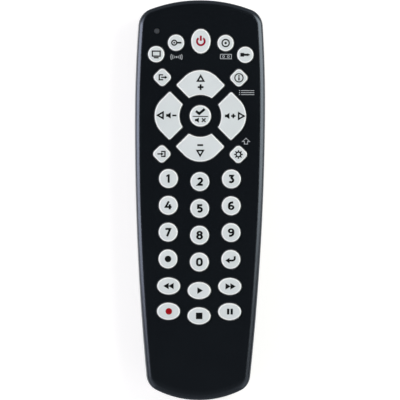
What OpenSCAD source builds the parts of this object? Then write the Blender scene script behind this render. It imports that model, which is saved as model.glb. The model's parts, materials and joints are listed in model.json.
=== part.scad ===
// Universal remote control: two-piece moulded case, thirty-two sprung keys, circuit board,
// two AAA cells and a sliding battery door.
// Frame: X across, +Y toward the infrared end, +Z out of the key face; it lies on its back on z = 0.

/* [Body] */
// overall length
body_l = 180; // [178:1:184]
// greatest width
body_w = 58.5; // [58:0.5:61]
// height of the key face above the rest plane
body_h = 22.8; // [22.6:0.1:24.5]
// greatest width, back from the nose
wide_back = 49.8; // [47:0.2:52]
// how far each side draws in from there to the nose end
nose_draw = 2.2; // [1.5:0.05:2.6]
// how far each side draws in from there to the tail end
tail_draw = 7.05; // [6.2:0.05:7.3]
// radius of the nose end in plan
nose_r = 63.7; // [61:0.1:67]
// radius of the tail end in plan
tail_r = 42.4; // [40:0.1:46]
// radius of the two nose corners in plan
nose_corner_r = 8.3; // [8:0.1:9]
// radius of the two tail corners in plan
tail_corner_r = 8; // [8:0.1:9]
// height of the joint between the two shells
part_z = 12.5; // [12.3:0.1:12.8]
// side wall
wall = 2; // [1.8:0.1:2.2]
// key face thickness
face_t = 1.8; // [1.6:0.1:2]
// underside thickness
floor_t = 1.8; // [1.6:0.1:2]
// rounding between the key face and the sides
edge_r = 2.4; // [2:0.1:2.6]
// inward lean of the upper shell's side wall
draft = 0.3; // [0.2:0.05:0.4]
// how far the belly rounds in from the outline
belly_in = 7; // [6.5:0.1:7.3]
// rise of the underside at the nose
nose_lift = 4.5; // [3:0.1:5]
// start of that rise, back from the nose
flat_back = 70; // [64:1:74]
// lip of the lower shell inside the upper shell
lip_h = 1.5; // [1.2:0.1:1.8]
// thickness of that lip
lip_t = 0.8; // [0.7:0.05:0.9]
// clearance between fixed pieces
fit_gap = 0.1; // [0.05:0.05:0.15]

/* [Keys] */
// height of the key tops above the face
key_rise = 1.6; // [1.3:0.1:1.9]
// key travel
key_travel = 0.8; // [0.6:0.05:0.9]
// clearance round a key in its aperture
key_gap = 0.3; // [0.25:0.05:0.4]
// rounding of the key edges
key_edge = 0.5; // [0.35:0.05:0.5]
// dome height of the round and oval keys
key_crown = 0.3; // [0.2:0.05:0.4]
// how far the flange under the face stands out
flange_w = 0.6; // [0.5:0.05:0.8]
// flange thickness
flange_t = 0.8; // [0.7:0.05:0.9]
// clearance between flange and face at rest
flange_gap = 0.25; // [0.2:0.05:0.3]
// plunger radius below the flange
plunger_r = 1.9; // [1.7:0.05:2]
// clearance round a plunger in the rubber web
plunger_gap = 0.4; // [0.3:0.05:0.5]
// clearance left under a pressed key
stop_gap = 0.1; // [0.05:0.05:0.15]

/* [Key sizes] */
// radius of the digit keys
digit_r = 4.4; // [4.2:0.05:4.6]
// radius of the device keys
device_r = 3.8; // [3.6:0.05:4]
// radius of the OK key
ok_r = 4.93; // [4.7:0.01:5.1]
// power key, half width
power_a = 4.48; // [4.3:0.01:4.6]
// power key, half length
power_b = 5.67; // [5.5:0.01:5.8]
// transport keys, half width
transport_a = 5.33; // [5.1:0.01:5.5]
// transport keys, half height
transport_b = 4; // [3.8:0.05:4.2]
// corner keys, centre to flat
diamond_flat = 3.42; // [3.2:0.01:3.6]
// corner keys, corner radius
diamond_r = 2; // [1.8:0.05:2.2]
// direction keys, pad centre to flank
pad_flat = 17.68; // [17.3:0.01:18]
// direction keys, apex radius
pad_apex_r = 10.4; // [9.8:0.1:11]
// direction keys, space between neighbours
pad_space = 3.7; // [3.4:0.05:4]
// direction keys, inner arc about the OK key
pad_bore_r = 9.3; // [9:0.05:9.6]
// direction keys, outer corner radius
pad_corner_r = 0.9; // [0.8:0.05:1]
// direction keys, inner corner radius
pad_tip_r = 0.6; // [0.55:0.01:0.7]

/* [Key places] */
// power key, back from the nose
power_back = 18.54; // [18:0.01:19]
// outer device keys, in from the greatest width
outer_dev_in = 9.21; // [8.8:0.01:9.6]
// outer device keys, behind the power key
outer_dev_drop = 5.98; // [5.6:0.01:6.4]
// inner device keys, out of the middle between the power key and the outer device keys
inner_dev_out = 0.78; // [0.5:0.01:1]
// inner device keys, behind the power key
inner_dev_drop = 0.77; // [0.5:0.01:1]
// space between the power key and the direction pad
pad_step = 7.22; // [6.8:0.01:7.8]
// space between a direction key and a corner key
corner_space = 3.25; // [2.9:0.01:3.6]
// digit columns either side of the middle
digit_x = 14.14; // [14:0.01:14.6]
// first digit row, behind the direction pad
digit_step = 7.56; // [7.2:0.01:8]
// digit row pitch
digit_pitch = 12.05; // [11.6:0.01:12.5]
// how much lower the middle digit column sits
digit_drop = 1.28; // [1:0.01:1.4]
// transport columns either side of the middle
transport_x = 13.74; // [13.5:0.01:14.2]
// first transport row, behind the last digit row
transport_step = 12.14; // [11.8:0.01:12.6]
// transport row pitch
transport_pitch = 11.38; // [11:0.01:11.8]
// how much lower the middle transport column sits
transport_drop = 1.97; // [1.6:0.01:2.2]

/* [Keypad web and board] */
// web thickness
web_t = 0.9; // [0.8:0.05:1.1]
// height of the rubber dome round each plunger
dome_h = 0.6; // [0.5:0.05:0.7]
// dome width at its foot
dome_foot = 1.3; // [1.2:0.05:1.4]
// dome width at its rim
dome_rim = 0.7; // [0.6:0.05:0.8]
// board thickness
board_t = 1.2; // [1:0.1:1.6]
// clearance of board and web inside the shell
board_gap = 0.6; // [0.5:0.05:0.8]
// nose end of the board, back from the nose of the body
board_back = 11; // [10.8:0.1:11.2]
// how far board and web reach behind the last key's centre
board_over = 6.47; // [6:0.01:8]
// nose end of the web, back from the end of the board
web_back = 2.8; // [2.7:0.1:2.9]
// posts of the upper shell that hold the board down
post_r = 1.2; // [1:0.05:1.3]
// posts beside the direction pad, in from the greatest width
post_in = 5.25; // [5:0.05:5.4]
// posts beside the direction pad, beyond its centre
post_dy = 6.1; // [5.8:0.1:6.4]
// clearance of the web round a post
post_gap = 0.3; // [0.2:0.05:0.4]
// pillars of the lower shell under the board
pillar_r = 1.8; // [1.6:0.1:2]

/* [Infrared end] */
// window width
window_w = 20; // [18:0.5:21]
// top of the window below the key face
window_drop = 3.8; // [3.5:0.1:4.5]
// how far the flange stands out behind the wall
window_flange = 1.2; // [1:0.1:1.3]
// thickness of that flange
window_flange_t = 1; // [0.8:0.1:1.2]
// infrared lamp radius
lamp_r = 2.5; // [2.4:0.05:2.5]
// length of the lamp's straight part
lamp_l = 3.5; // [3.3:0.1:3.7]
// how far the lamp's collar stands out
lamp_rim = 0.4; // [0.3:0.05:0.5]
// thickness of the lamp's collar
lamp_rim_t = 1; // [0.8:0.1:1]
// thickness of wire legs
leg_w = 0.5; // [0.4:0.05:0.6]
// length of the lamp legs, one above and one below the board
leg_l = 2.6; // [2.4:0.1:2.6]
// pitch of the component legs
leg_pitch = 2.54; // [2.5:0.01:2.6]
// indicator lens radius
lens_r = 1.15; // [1.1:0.05:1.25]
// indicator lens, in from the outer device key
lens_dx = 0.29; // [0:0.01:0.6]
// indicator lens, beyond the outer device key
lens_dy = 10.42; // [10:0.01:10.8]
// radius of the lens flange under the face
lens_flange_r = 1.9; // [1.8:0.05:2]
// thickness of the lens flange
lens_flange_t = 0.8; // [0.7:0.05:0.9]
// indicator lamp width
indicator_w = 1.6; // [1.4:0.1:1.8]
// indicator lamp height
indicator_h = 0.8; // [0.7:0.05:0.9]
// air between the lamp and the lens
lens_air = 0.4; // [0.3:0.05:0.5]

/* [Nose hooks] */
// space between the window's flange and a hook
hook_space = 1.2; // [0.8:0.1:1.6]
// hook width
hook_w = 6; // [5:0.1:6]
// hook thickness
hook_t = 1.2; // [1:0.1:1.3]
// outline to the face of the hook
hook_in = 2.6; // [2.55:0.01:2.8]
// barb height
barb_h = 1; // [0.8:0.1:1.1]
// barb reach
barb_w = 0.9; // [0.8:0.05:0.9]
// the barb's top below the shell joint
barb_drop = 1.2; // [1.1:0.05:1.3]
// clearance of the barb in its pocket
barb_gap = 0.3; // [0.25:0.05:0.35]

/* [Cells and bay] */
// cell diameter
cell_d = 10.3; // [10:0.1:10.5]
// cell length over its cap
cell_l = 44.5; // [44:0.1:44.8]
// radius of the cell's cap
cap_r = 1.9; // [1.7:0.1:2]
// height of the cell's cap
cap_h = 0.9; // [0.8:0.05:1]
// rounding of the cell's ends
cell_edge = 0.5; // [0.4:0.05:0.6]
// space between the two cells
cell_space = 0.8; // [0.6:0.1:1]
// clearance round the cells
cell_gap = 0.3; // [0.25:0.05:0.4]
// tail end of the bay, forward from the tail
bay_back = 30.7; // [28:0.1:33]
// wall of the bay
bay_wall = 1.1; // [1:0.05:1.4]
// ribs on the bay that carry the board, in from the ends of the bay
rib_in = 10; // [8:0.5:14]
// contact sheet thickness
sheet_t = 0.6; // [0.5:0.05:0.7]
// width of a contact
sheet_w = 8; // [7.6:0.1:8.2]
// height of a contact
sheet_h = 8; // [7.6:0.1:8.4]
// solder tab
tab_w = 2.4; // [2.2:0.1:2.6]
// clearance of the tab in its slot
tab_gap = 0.3; // [0.2:0.05:0.4]
// room for the spring between its sheet and the cell
spring_l = 5.6; // [5.5:0.1:6]
// spring wire diameter
spring_wire = 0.7; // [0.6:0.05:0.7]
// spring turns
spring_turns = 4; // [4:0.25:4.25]
// coil radius at the sheet
spring_foot_r = 3.3; // [3.1:0.05:3.4]
// coil radius at the cell
spring_tip_r = 2.3; // [2.2:0.05:2.4]
// air between the spring's end and the cell
spring_air = 0.1; // [0.05:0.05:0.15]

/* [Battery door] */
// half width of the door plate
door_half = 13.6; // [13.5:0.1:13.8]
// thickness of the door plate
door_t = 1.6; // [1.5:0.05:1.8]
// how far the door reaches past the nose end of the bay
door_over = 4.5; // [4:0.1:6]
// clearance round the door
door_gap = 0.2; // [0.15:0.05:0.25]
// reach of the tongue along each side of the door
tongue_w = 1.4; // [1.2:0.05:1.5]
// thickness of that tongue
tongue_t = 1.1; // [1:0.05:1.2]
// height of the tongue's underside
tongue_z = 1.2; // [1.15:0.05:1.25]
// seat of the door in the lower shell
seat_t = 1.5; // [1.3:0.1:1.6]
// number of thumb grip grooves
grip_n = 6; // [4:1:7]
// length of a grip groove
grip_l = 18; // [14:0.5:20]
// width of a grip groove
grip_w = 1.2; // [1:0.1:1.3]
// depth of a grip groove
grip_d = 0.5; // [0.4:0.05:0.6]
// pitch of the grip grooves
grip_pitch = 2.4; // [2.2:0.1:2.6]
// middle of the grip, forward from the tail
grip_back = 20; // [19:0.5:24]

/* [Screws] */
// case screws, off the middle
screw_x = 7; // [6.5:0.1:7.5]
// case screws, forward from the tail
screw_back = 9; // [8.5:0.1:10]
// screw shank radius
screw_r = 1.1; // [1:0.05:1.1]
// screw shank length under the head
screw_l = 9; // [8.5:0.1:9.5]
// screw head radius
head_r = 2; // [1.9:0.05:2.1]
// screw head height
head_h = 1.5; // [1.3:0.1:1.6]
// width of the cross recess
cross_w = 0.5; // [0.4:0.05:0.6]
// length of the cross recess
cross_l = 2.2; // [2:0.1:2.4]
// depth of the cross recess
cross_d = 0.8; // [0.6:0.1:0.9]
// height of the seat under the head's bearing face
head_z = 5; // [4.9:0.1:5.2]
// height where the two bosses meet
boss_z = 8.5; // [8.2:0.1:9]
// wall of the bosses
boss_wall = 1.3; // [1.2:0.05:1.4]
// clearance of the shank in the lower boss
shank_gap = 0.15; // [0.1:0.05:0.2]
// clearance of the head in its counterbore
head_gap = 0.4; // [0.3:0.05:0.5]
// clearance of the shank in the pilot bore
pilot_gap = 0.05; // [0.05:0.01:0.1]

/* [Components under the board] */
// controller chip length
chip_l = 12.8; // [12:0.1:13]
// controller chip width
chip_w = 7.5; // [7:0.1:7.6]
// controller chip height
chip_h = 2.2; // [2:0.1:2.4]
// controller chip, back from the nose
chip_back = 62; // [60:0.5:64]
// chip pins a side
pin_n = 10; // [8:1:10]
// pitch of the chip pins
pin_pitch = 1.27; // [1.27:0.01:1.3]
// width of a chip pin
pin_w = 0.4; // [0.35:0.05:0.5]
// thickness of a chip pin
pin_t = 0.25; // [0.2:0.05:0.3]
// reach of a chip pin
pin_out = 1.4; // [1.2:0.1:1.6]
// resonator width
resonator_w = 7; // [6:0.1:7.5]
// resonator thickness
resonator_t = 3.2; // [3:0.1:3.5]
// resonator height
resonator_h = 7; // [6:0.1:7.5]
// capacitor radius, lying along Y
capacitor_r = 3.15; // [2.9:0.05:3.2]
// capacitor length
capacitor_l = 11; // [10:0.5:11]
// depth of the groove round the capacitor
capacitor_groove = 0.3; // [0.2:0.05:0.4]
// transistor radius
transistor_r = 2.3; // [2.2:0.05:2.4]
// transistor height
transistor_h = 4.6; // [4.4:0.1:4.8]
// height of the component legs
stand_h = 1.5; // [1.2:0.1:1.8]
// resonator and capacitor, off the middle
component_x = 12; // [11:0.5:12.5]
// resonator and capacitor, back from the nose
component_back = 44; // [42:0.5:46]
// transistor, back from the nose
transistor_back = 21; // [20:0.5:22]
// chip resistor length
resistor_l = 2; // [1.8:0.1:2.2]
// chip resistor width
resistor_w = 1.25; // [1.2:0.05:1.4]
// chip resistor height
resistor_h = 0.55; // [0.5:0.05:0.6]
// number of chip resistors
resistor_n = 5; // [3:1:5]
// pitch of the chip resistors
resistor_pitch = 3; // [2.8:0.1:3.2]
// chip resistors, back from the nose
resistor_back = 74; // [73:0.5:76]

/* [Hidden] */
$fn = 48;
over = 1;
fillet_steps = 4;
belly_steps = 6;
edge_steps = 3;
oval_steps = 36;
wire_sides = 6;
wire_rings = 8;

// heights, from the key face down
key_top = body_h + key_rise;
under_z = body_h - face_t;
flange_z1 = under_z - flange_gap;
flange_z0 = flange_z1 - flange_t;
dome_top = flange_z0 - key_travel - stop_gap;
web_top = dome_top - dome_h;
board_top = web_top - web_t;
board_z = board_top - board_t;
pill_z = board_top + key_travel + stop_gap;

// stations along the length
nose_y = body_l / 2;
tail_y = -body_l / 2;
wide_y = nose_y - wide_back;
flat_y = nose_y - flat_back;
power_y = nose_y - power_back;
pad_reach = (pad_flat - pad_apex_r) * sqrt(2) + pad_apex_r;
nav_y = power_y - power_b - pad_step - pad_reach;
digit_y = nav_y - pad_reach - digit_step;
transport_y = digit_y - 3 * digit_pitch - transport_step;
board_nose = nose_y - board_back;
board_tail = transport_y - transport_pitch - transport_drop - board_over;
web_nose = board_nose - web_back;
bay_l = cell_l + spring_l + 2 * sheet_t;
bay_end = tail_y + bay_back;
bay_y = bay_end + bay_l;
door_y = bay_y + door_over;

// places off the middle
outer_dev_x = body_w / 2 - outer_dev_in;
inner_dev_x = (power_a + outer_dev_x - device_r) / 2 + inner_dev_out;
corner_d = (pad_flat + diamond_flat + corner_space) / sqrt(2);
post_x = body_w / 2 - post_in;
lens_at = [lens_dx - outer_dev_x, power_y - outer_dev_drop + lens_dy];

// cells and bay
cell_r = cell_d / 2;
cell_x = (cell_d + cell_space) / 2;
cell_z = door_t + cell_gap + cell_r;
bay_half = cell_x + cell_r + cell_gap;
roof_z = cell_z + cell_r + cell_gap;
roof_top = roof_z + bay_wall;
pad_v = (pad_bore_r + pad_flat * sqrt(2) - (sqrt(2) - 1) * pad_apex_r) / 2;
top_post_y = (power_y - power_b + nav_y + pad_reach) / 2;
board_posts = [[0, top_post_y], [post_x, nav_y + post_dy], [-post_x, nav_y + post_dy]];
slim_posts = [for (s = [-1, 1], row = [1, 3])
    [s * digit_x / 2, digit_y - digit_pitch * (row + 1 / 2) - digit_drop / 2]];
rib_rows = [bay_y - rib_in, bay_end + rib_in];
screws = [for (s = [-1, 1]) [s * screw_x, tail_y + screw_back]];
window_top = body_h - window_drop;
hook_a = asin((window_w / 2 + window_flange + hook_space + hook_w / 2) / nose_r);

// Plan curves. An arc is [centre, radius, first normal, last normal, steps, skipped first, skipped last];
// a hollow arc has a negative radius. An inset moves every arc along its normal.
function dir(a) = [cos(a), sin(a)];
function bearing(v) = atan2(v.y, v.x);
function arc_run(s, inset) =
    [for (i = [s[5] : s[4] - s[6]]) s[0] + (s[1] - inset) * dir(s[2] + (s[3] - s[2]) * i / s[4])];
function chain(arcs, inset) = [for (s = arcs) each arc_run(s, inset)];
function flip(p) = [-p.x, p.y];
function side_r(run, drop) = (run * run + drop * drop) / (2 * drop);
function meet(c1, d1, c2, d2, way) =
    let (d = norm(c2 - c1),
         a = (d1 * d1 - d2 * d2 + d * d) / (2 * d),
         h = sqrt(d1 * d1 - a * a),
         u = (c2 - c1) / d)
    c1 + a * u + way * h * [-u.y, u.x];

upper_r = side_r(nose_y - wide_y, nose_draw);
lower_r = side_r(wide_y - tail_y, tail_draw);
upper_c = [body_w / 2 - upper_r, wide_y];
lower_c = [body_w / 2 - lower_r, wide_y];
nose_c = [0, nose_y - nose_r];
tail_c = [0, tail_y + tail_r];
nose_k = meet(upper_c, upper_r - nose_corner_r, nose_c, nose_r - nose_corner_r, 1);
tail_k = meet(lower_c, lower_r - tail_corner_r, tail_c, tail_r - tail_corner_r, -1);
half_arcs = [
    [tail_c, tail_r, -90, bearing(tail_k - tail_c), 6, 0, 1],
    [tail_k, tail_corner_r, bearing(tail_k - tail_c), bearing(tail_k - lower_c), 6, 0, 1],
    [lower_c, lower_r, bearing(tail_k - lower_c), 0, 10, 0, 1],
    [upper_c, upper_r, 0, bearing(nose_k - upper_c), 6, 0, 1],
    [nose_k, nose_corner_r, bearing(nose_k - upper_c), bearing(nose_k - nose_c), 6, 0, 1],
    [nose_c, nose_r, bearing(nose_k - nose_c), 90, 6, 0, 0]];
function outline(inset) =
    let (half = chain(half_arcs, inset), n = len(half))
    concat(half, [for (i = [n - 2 : -1 : 1]) flip(half[i])]);

// one oval key, each point an arc of no length that carries the normal there
function oval_arcs(a, b) = [for (i = [0 : oval_steps - 1])
    let (t = 360 * i / oval_steps, way = bearing([b * cos(t), a * sin(t)]))
    [[a * cos(t), b * sin(t)], 0, way, way, 1, 0, 1]];

// one corner key
diamond_c = (diamond_flat - diamond_r) * sqrt(2);
diamond_arcs = [for (q = [0 : 3]) [diamond_c * dir(90 * q), diamond_r, 90 * q - 45, 90 * q + 45, 4, 0, 0]];

// one direction key about the pad centre, pointing to +Y and starting at its apex
flank = [1, 1] / sqrt(2);
across = [1, -1] / sqrt(2);
apex_c = [0, (pad_flat - pad_apex_r) * sqrt(2)];
side_c = flank * (pad_flat - pad_corner_r) - across * (pad_space / 2 + pad_corner_r);
tip_d = pad_space / 2 + pad_tip_r;
tip_c = flank * sqrt(pow(pad_bore_r + pad_tip_r, 2) - tip_d * tip_d) - across * tip_d;
tip_a = bearing(tip_c);
pad_arcs = [
    [apex_c, pad_apex_r, 90, 135, 5, 0, 0],
    [flip(side_c), pad_corner_r, 135, 225, 4, 0, 0],
    [flip(tip_c), pad_tip_r, 225, 360 - tip_a, 3, 0, 0],
    [[0, 0], -pad_bore_r, 360 - tip_a, 180 + tip_a, 8, 1, 1],
    [tip_c, pad_tip_r, 180 + tip_a, 315, 3, 0, 0],
    [side_c, pad_corner_r, 315, 405, 4, 0, 0],
    [apex_c, pad_apex_r, 45, 90, 5, 0, 1]];

// Lofts through rings with equal numbers of points.
function ring_faces(n, m) = [for (j = [0 : m - 2], i = [0 : n - 1])
    let (a = j * n + i, b = j * n + (i + 1) % n) each [[a, a + n, b + n], [a, b + n, b]]];
function fan(n, base, up) = [for (i = [1 : n - 2])
    up ? [base, base + i + 1, base + i] : [base, base + i, base + i + 1]];
function ladder(n, base, up) =
    let (rungs = concat([[0, 1, n - 1]],
                        [for (i = [1 : n / 2 - 2]) [i, i + 1, n - i - 1, n - i]],
                        [[n / 2 - 1, n / 2, n / 2 + 1]]))
    [for (f = rungs) up ? [for (i = [len(f) - 1 : -1 : 0]) base + f[i]] : [for (i = f) base + i]];
module loft(rings, fanned) {
    n = len(rings[0]);
    last = (len(rings) - 1) * n;
    caps = fanned ? concat(fan(n, 0, false), fan(n, last, true))
                  : concat(ladder(n, 0, false), ladder(n, last, true));
    polyhedron([for (r = rings) each r], concat(ring_faces(n, len(rings)), caps));
}
function lift(points, z) = [for (p = points) [p.x, p.y, z]];

// the underside, flat and then rising toward the nose
function belly(y) = nose_lift * pow(max(0, y - flat_y) / flat_back, 2);
function belly_ring(inset, sink, f) =
    [for (p = outline(inset)) let (z = belly(p.y) + sink) [p.x, p.y, z + (part_z - z) * f]];
module lower_form(start, stop, sink, top) {
    rings = [for (k = [belly_steps : -1 : 0]) let (a = 90 * k / belly_steps)
        belly_ring(start + (stop - start) * (1 - cos(a)), sink, 1 - sin(a))];
    loft(concat(rings, top > part_z ? [lift(outline(start), top)] : []), false);
}
module upper_form() {
    rounding = [for (k = [0 : fillet_steps]) let (a = 90 * k / fillet_steps)
        lift(outline(draft + edge_r * (1 - cos(a))), body_h - edge_r * (1 - sin(a)))];
    loft(concat([lift(outline(0), part_z)], rounding), false);
}
module upper_hollow(inset, top) {
    foot = outline(inset);
    loft([lift(foot, part_z - over), lift(foot, part_z), lift(outline(inset + draft), top)], false);
}
module slab(inset, y0, y1, z, t) {
    translate([0, 0, z])
        linear_extrude(t)
            intersection() {
                polygon(outline(inset));
                translate([-body_w / 2, y0])
                    square([body_w, y1 - y0]);
            }
}
module block(w, y0, y1, z0, z1) {
    translate([-w / 2, y0, z0])
        cube([w, y1 - y0, z1 - z0]);
}
module peg(at, r, z0, z1) {
    translate([at.x, at.y, z0])
        cylinder(r = r, h = z1 - z0);
}

// Places of the keys.
power_at = [0, power_y];
ok_at = [0, nav_y];
function digit_at(col, row) =
    [col * digit_x, digit_y - row * digit_pitch - (col == 0 ? digit_drop : 0)];
function transport_at(col, row) =
    [col * transport_x, transport_y - row * transport_pitch - (col == 0 ? transport_drop : 0)];
function corner_at(sx, sy) = [sx * corner_d, nav_y + sy * corner_d];
inner_dev = [inner_dev_x, power_y - inner_dev_drop];
outer_dev = [outer_dev_x, power_y - outer_dev_drop];
device_spots = [inner_dev, flip(inner_dev), outer_dev, flip(outer_dev)];
corner_spots = [for (sx = [-1, 1], sy = [-1, 1]) corner_at(sx, sy)];
digit_spots = [for (col = [-1 : 1], row = [0 : 3]) digit_at(col, row)];
transport_spots = [for (col = [-1 : 1], row = [0 : 1]) transport_at(col, row)];
pad_spots = [for (a = [0 : 90 : 270]) ok_at + pad_v * dir(a)];
plunger_spots = concat([power_at, ok_at], device_spots, corner_spots, digit_spots, transport_spots,
                       pad_spots);

// Keys.
module key_profile(r) {
    h = key_top - flange_z0;
    dome_r = (r * r + key_crown * key_crown) / (2 * key_crown);
    translate([0, pill_z - flange_z0])
        square([plunger_r, flange_t + flange_z0 - pill_z]);
    intersection() {
        union() {
            square([r + flange_w, flange_t]);
            square([r - key_edge, h]);
            square([r, h - key_crown - key_edge]);
            translate([r - key_edge, h - key_crown - key_edge])
                circle(key_edge);
        }
        translate([0, h - dome_r])
            circle(dome_r, $fn = 360);
        square([r + flange_w, h]);
    }
}
module plunger() {
    translate([0, 0, pill_z])
        cylinder(r = plunger_r, h = flange_z0 + flange_t / 2 - pill_z);
}
module round_key(r) {
    translate([0, 0, flange_z0])
        rotate_extrude()
            key_profile(r);
}
module moulded_cap(arcs) {
    rounding = [for (k = [0 : edge_steps]) let (a = 90 * k / edge_steps)
        lift(chain(arcs, key_edge * (1 - cos(a))), key_top - key_edge * (1 - sin(a)))];
    loft(concat([lift(chain(arcs, 0), flange_z0 + flange_t / 2)], rounding), true);
    translate([0, 0, flange_z0])
        linear_extrude(flange_t)
            polygon(chain(arcs, -flange_w));
}
module oval_key(a, b) {
    moulded_cap(oval_arcs(a, b));
    plunger();
}
module diamond_key() {
    moulded_cap(diamond_arcs);
    plunger();
}
module pad_key() {
    moulded_cap(pad_arcs);
    translate([0, pad_v, 0])
        plunger();
}
module at(spot) {
    translate([spot.x, spot.y, 0])
        children();
}
module turned(a) {
    translate([0, nav_y, 0])
        rotate([0, 0, a])
            children();
}
module key_color() {
    color([0.79, 0.82, 0.84])
        children();
}
module power_key() key_color() at(power_at) oval_key(power_a, power_b);
module cable_key() key_color() at(flip(inner_dev)) round_key(device_r);
module disc_key() key_color() at(inner_dev) round_key(device_r);
module tv_key() key_color() at(flip(outer_dev)) round_key(device_r);
module aux_key() key_color() at(outer_dev) round_key(device_r);
module exit_key() key_color() at(corner_at(-1, 1)) diamond_key();
module info_key() key_color() at(corner_at(1, 1)) diamond_key();
module input_key() key_color() at(corner_at(-1, -1)) diamond_key();
module setup_key() key_color() at(corner_at(1, -1)) diamond_key();
module ok_key() key_color() at(ok_at) round_key(ok_r);
module up_key() key_color() turned(0) pad_key();
module left_key() key_color() turned(90) pad_key();
module down_key() key_color() turned(180) pad_key();
module right_key() key_color() turned(270) pad_key();
module digit_1_key() key_color() at(digit_at(-1, 0)) round_key(digit_r);
module digit_2_key() key_color() at(digit_at(0, 0)) round_key(digit_r);
module digit_3_key() key_color() at(digit_at(1, 0)) round_key(digit_r);
module digit_4_key() key_color() at(digit_at(-1, 1)) round_key(digit_r);
module digit_5_key() key_color() at(digit_at(0, 1)) round_key(digit_r);
module digit_6_key() key_color() at(digit_at(1, 1)) round_key(digit_r);
module digit_7_key() key_color() at(digit_at(-1, 2)) round_key(digit_r);
module digit_8_key() key_color() at(digit_at(0, 2)) round_key(digit_r);
module digit_9_key() key_color() at(digit_at(1, 2)) round_key(digit_r);
module dot_key() key_color() at(digit_at(-1, 3)) round_key(digit_r);
module digit_0_key() key_color() at(digit_at(0, 3)) round_key(digit_r);
module enter_key() key_color() at(digit_at(1, 3)) round_key(digit_r);
module rewind_key() key_color() at(transport_at(-1, 0)) oval_key(transport_a, transport_b);
module play_key() key_color() at(transport_at(0, 0)) oval_key(transport_a, transport_b);
module fast_forward_key() key_color() at(transport_at(1, 0)) oval_key(transport_a, transport_b);
module record_key() key_color() at(transport_at(-1, 1)) oval_key(transport_a, transport_b);
module stop_key() key_color() at(transport_at(0, 1)) oval_key(transport_a, transport_b);
module pause_key() key_color() at(transport_at(1, 1)) oval_key(transport_a, transport_b);

// Upper shell.
module round_hole(spot, r) {
    peg(spot, r + key_gap, under_z - over, body_h + over);
}
module outline_hole(arcs) {
    translate([0, 0, under_z - over])
        linear_extrude(face_t + 2 * over)
            polygon(chain(arcs, -key_gap));
}
module key_holes() {
    round_hole(ok_at, ok_r);
    at(power_at) outline_hole(oval_arcs(power_a, power_b));
    for (s = device_spots) round_hole(s, device_r);
    for (s = digit_spots) round_hole(s, digit_r);
    for (s = transport_spots) at(s) outline_hole(oval_arcs(transport_a, transport_b));
    for (s = corner_spots) at(s) outline_hole(diamond_arcs);
    for (a = [0 : 90 : 270]) turned(a) outline_hole(pad_arcs);
    peg(lens_at, lens_r + fit_gap, under_z - over, body_h + over);
}
module at_hooks() {
    for (s = [-1, 1])
        translate([nose_c.x, nose_c.y, 0])
            rotate([0, 0, s * hook_a])
                translate([0, nose_r, 0])
                    children();
}
module upper_housing() {
    color([0.06, 0.065, 0.08])
        difference() {
            union() {
                difference() {
                    upper_form();
                    upper_hollow(wall, under_z);
                    slab(wall - lip_t - 2 * fit_gap, tail_y, nose_y, part_z - over,
                         over + lip_h + fit_gap);
                }
                for (p = board_posts) peg(p, post_r, board_top, under_z + face_t / 2);
                for (p = slim_posts) peg(p, post_r, board_top, under_z + face_t / 2);
                for (p = screws) peg(p, screw_r + pilot_gap + boss_wall, boss_z, under_z + face_t / 2);
                at_hooks() {
                    block(hook_w, -hook_in - hook_t, -hook_in, part_z - barb_drop - barb_h,
                          under_z + face_t / 2);
                    block(hook_w, -hook_in - hook_t / 2, barb_w - hook_in, part_z - barb_drop - barb_h,
                          part_z - barb_drop);
                }
            }
            key_holes();
            block(window_w, nose_y - nose_corner_r, nose_y + over, part_z - over, window_top);
            for (p = screws) peg(p, screw_r + pilot_gap, boss_z - over, head_z + screw_l + over);
        }
}

// Window at the nose, held by its flange behind the wall.
module ir_window() {
    color([0.12, 0.02, 0.03, 0.8]) {
        intersection() {
            difference() {
                upper_form();
                upper_hollow(wall + draft + 3 * fit_gap, under_z);
            }
            block(window_w - 2 * fit_gap, nose_y - nose_corner_r, nose_y, part_z, window_top - fit_gap);
        }
        intersection() {
            slab(wall + draft + fit_gap, nose_y - nose_corner_r, nose_y, part_z + lip_h,
                 window_top - part_z - lip_h);
            difference() {
                block(window_w + 2 * window_flange, nose_y - nose_corner_r, nose_y, part_z, window_top);
                slab(wall + draft + fit_gap + window_flange_t, tail_y, nose_y, part_z,
                     window_top - part_z + over);
            }
        }
    }
}

// Lower shell with the cell bay, the door's seat and the bosses.
module lower_shell() {
    difference() {
        lower_form(0, belly_in, 0, part_z);
        lower_form(wall, belly_in + fit_gap, floor_t, part_z + over);
    }
    difference() {
        slab(wall - lip_t - fit_gap, tail_y, nose_y, part_z - over, over + lip_h);
        slab(wall - fit_gap, tail_y, nose_y, part_z - 2 * over, lip_h + 3 * over);
        block(window_w + 4 * window_flange, 0, nose_y, part_z, part_z + lip_h + over);
    }
}
module door_way(extra) {
    block(2 * (door_half + extra), tail_y, door_y + extra, -over, door_t + extra);
    for (s = [-1, 1])
        translate([s * door_half, 0, 0])
            block(2 * (tongue_w + extra), tail_y, door_y + extra, tongue_z - extra,
                  tongue_z + tongue_t + extra);
}
module lower_fittings() {
    seat_half = door_half + tongue_w + door_gap + seat_t;
    seat_top = tongue_z + tongue_t + door_gap + seat_t;
    block(2 * seat_half, tail_y + belly_in + wall, door_y + door_gap + seat_t, 0, seat_top);
    block(2 * (bay_half + bay_wall), bay_end - bay_wall, bay_y + bay_wall, 0, roof_top);
    for (y = rib_rows) block(2 * cell_x, y - bay_wall / 2, y + bay_wall / 2, roof_z, board_z);
    for (p = board_posts) peg(p, pillar_r, 0, board_z);
    for (p = screws) peg(p, head_r + head_gap + boss_wall, 0, boss_z);
}
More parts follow.
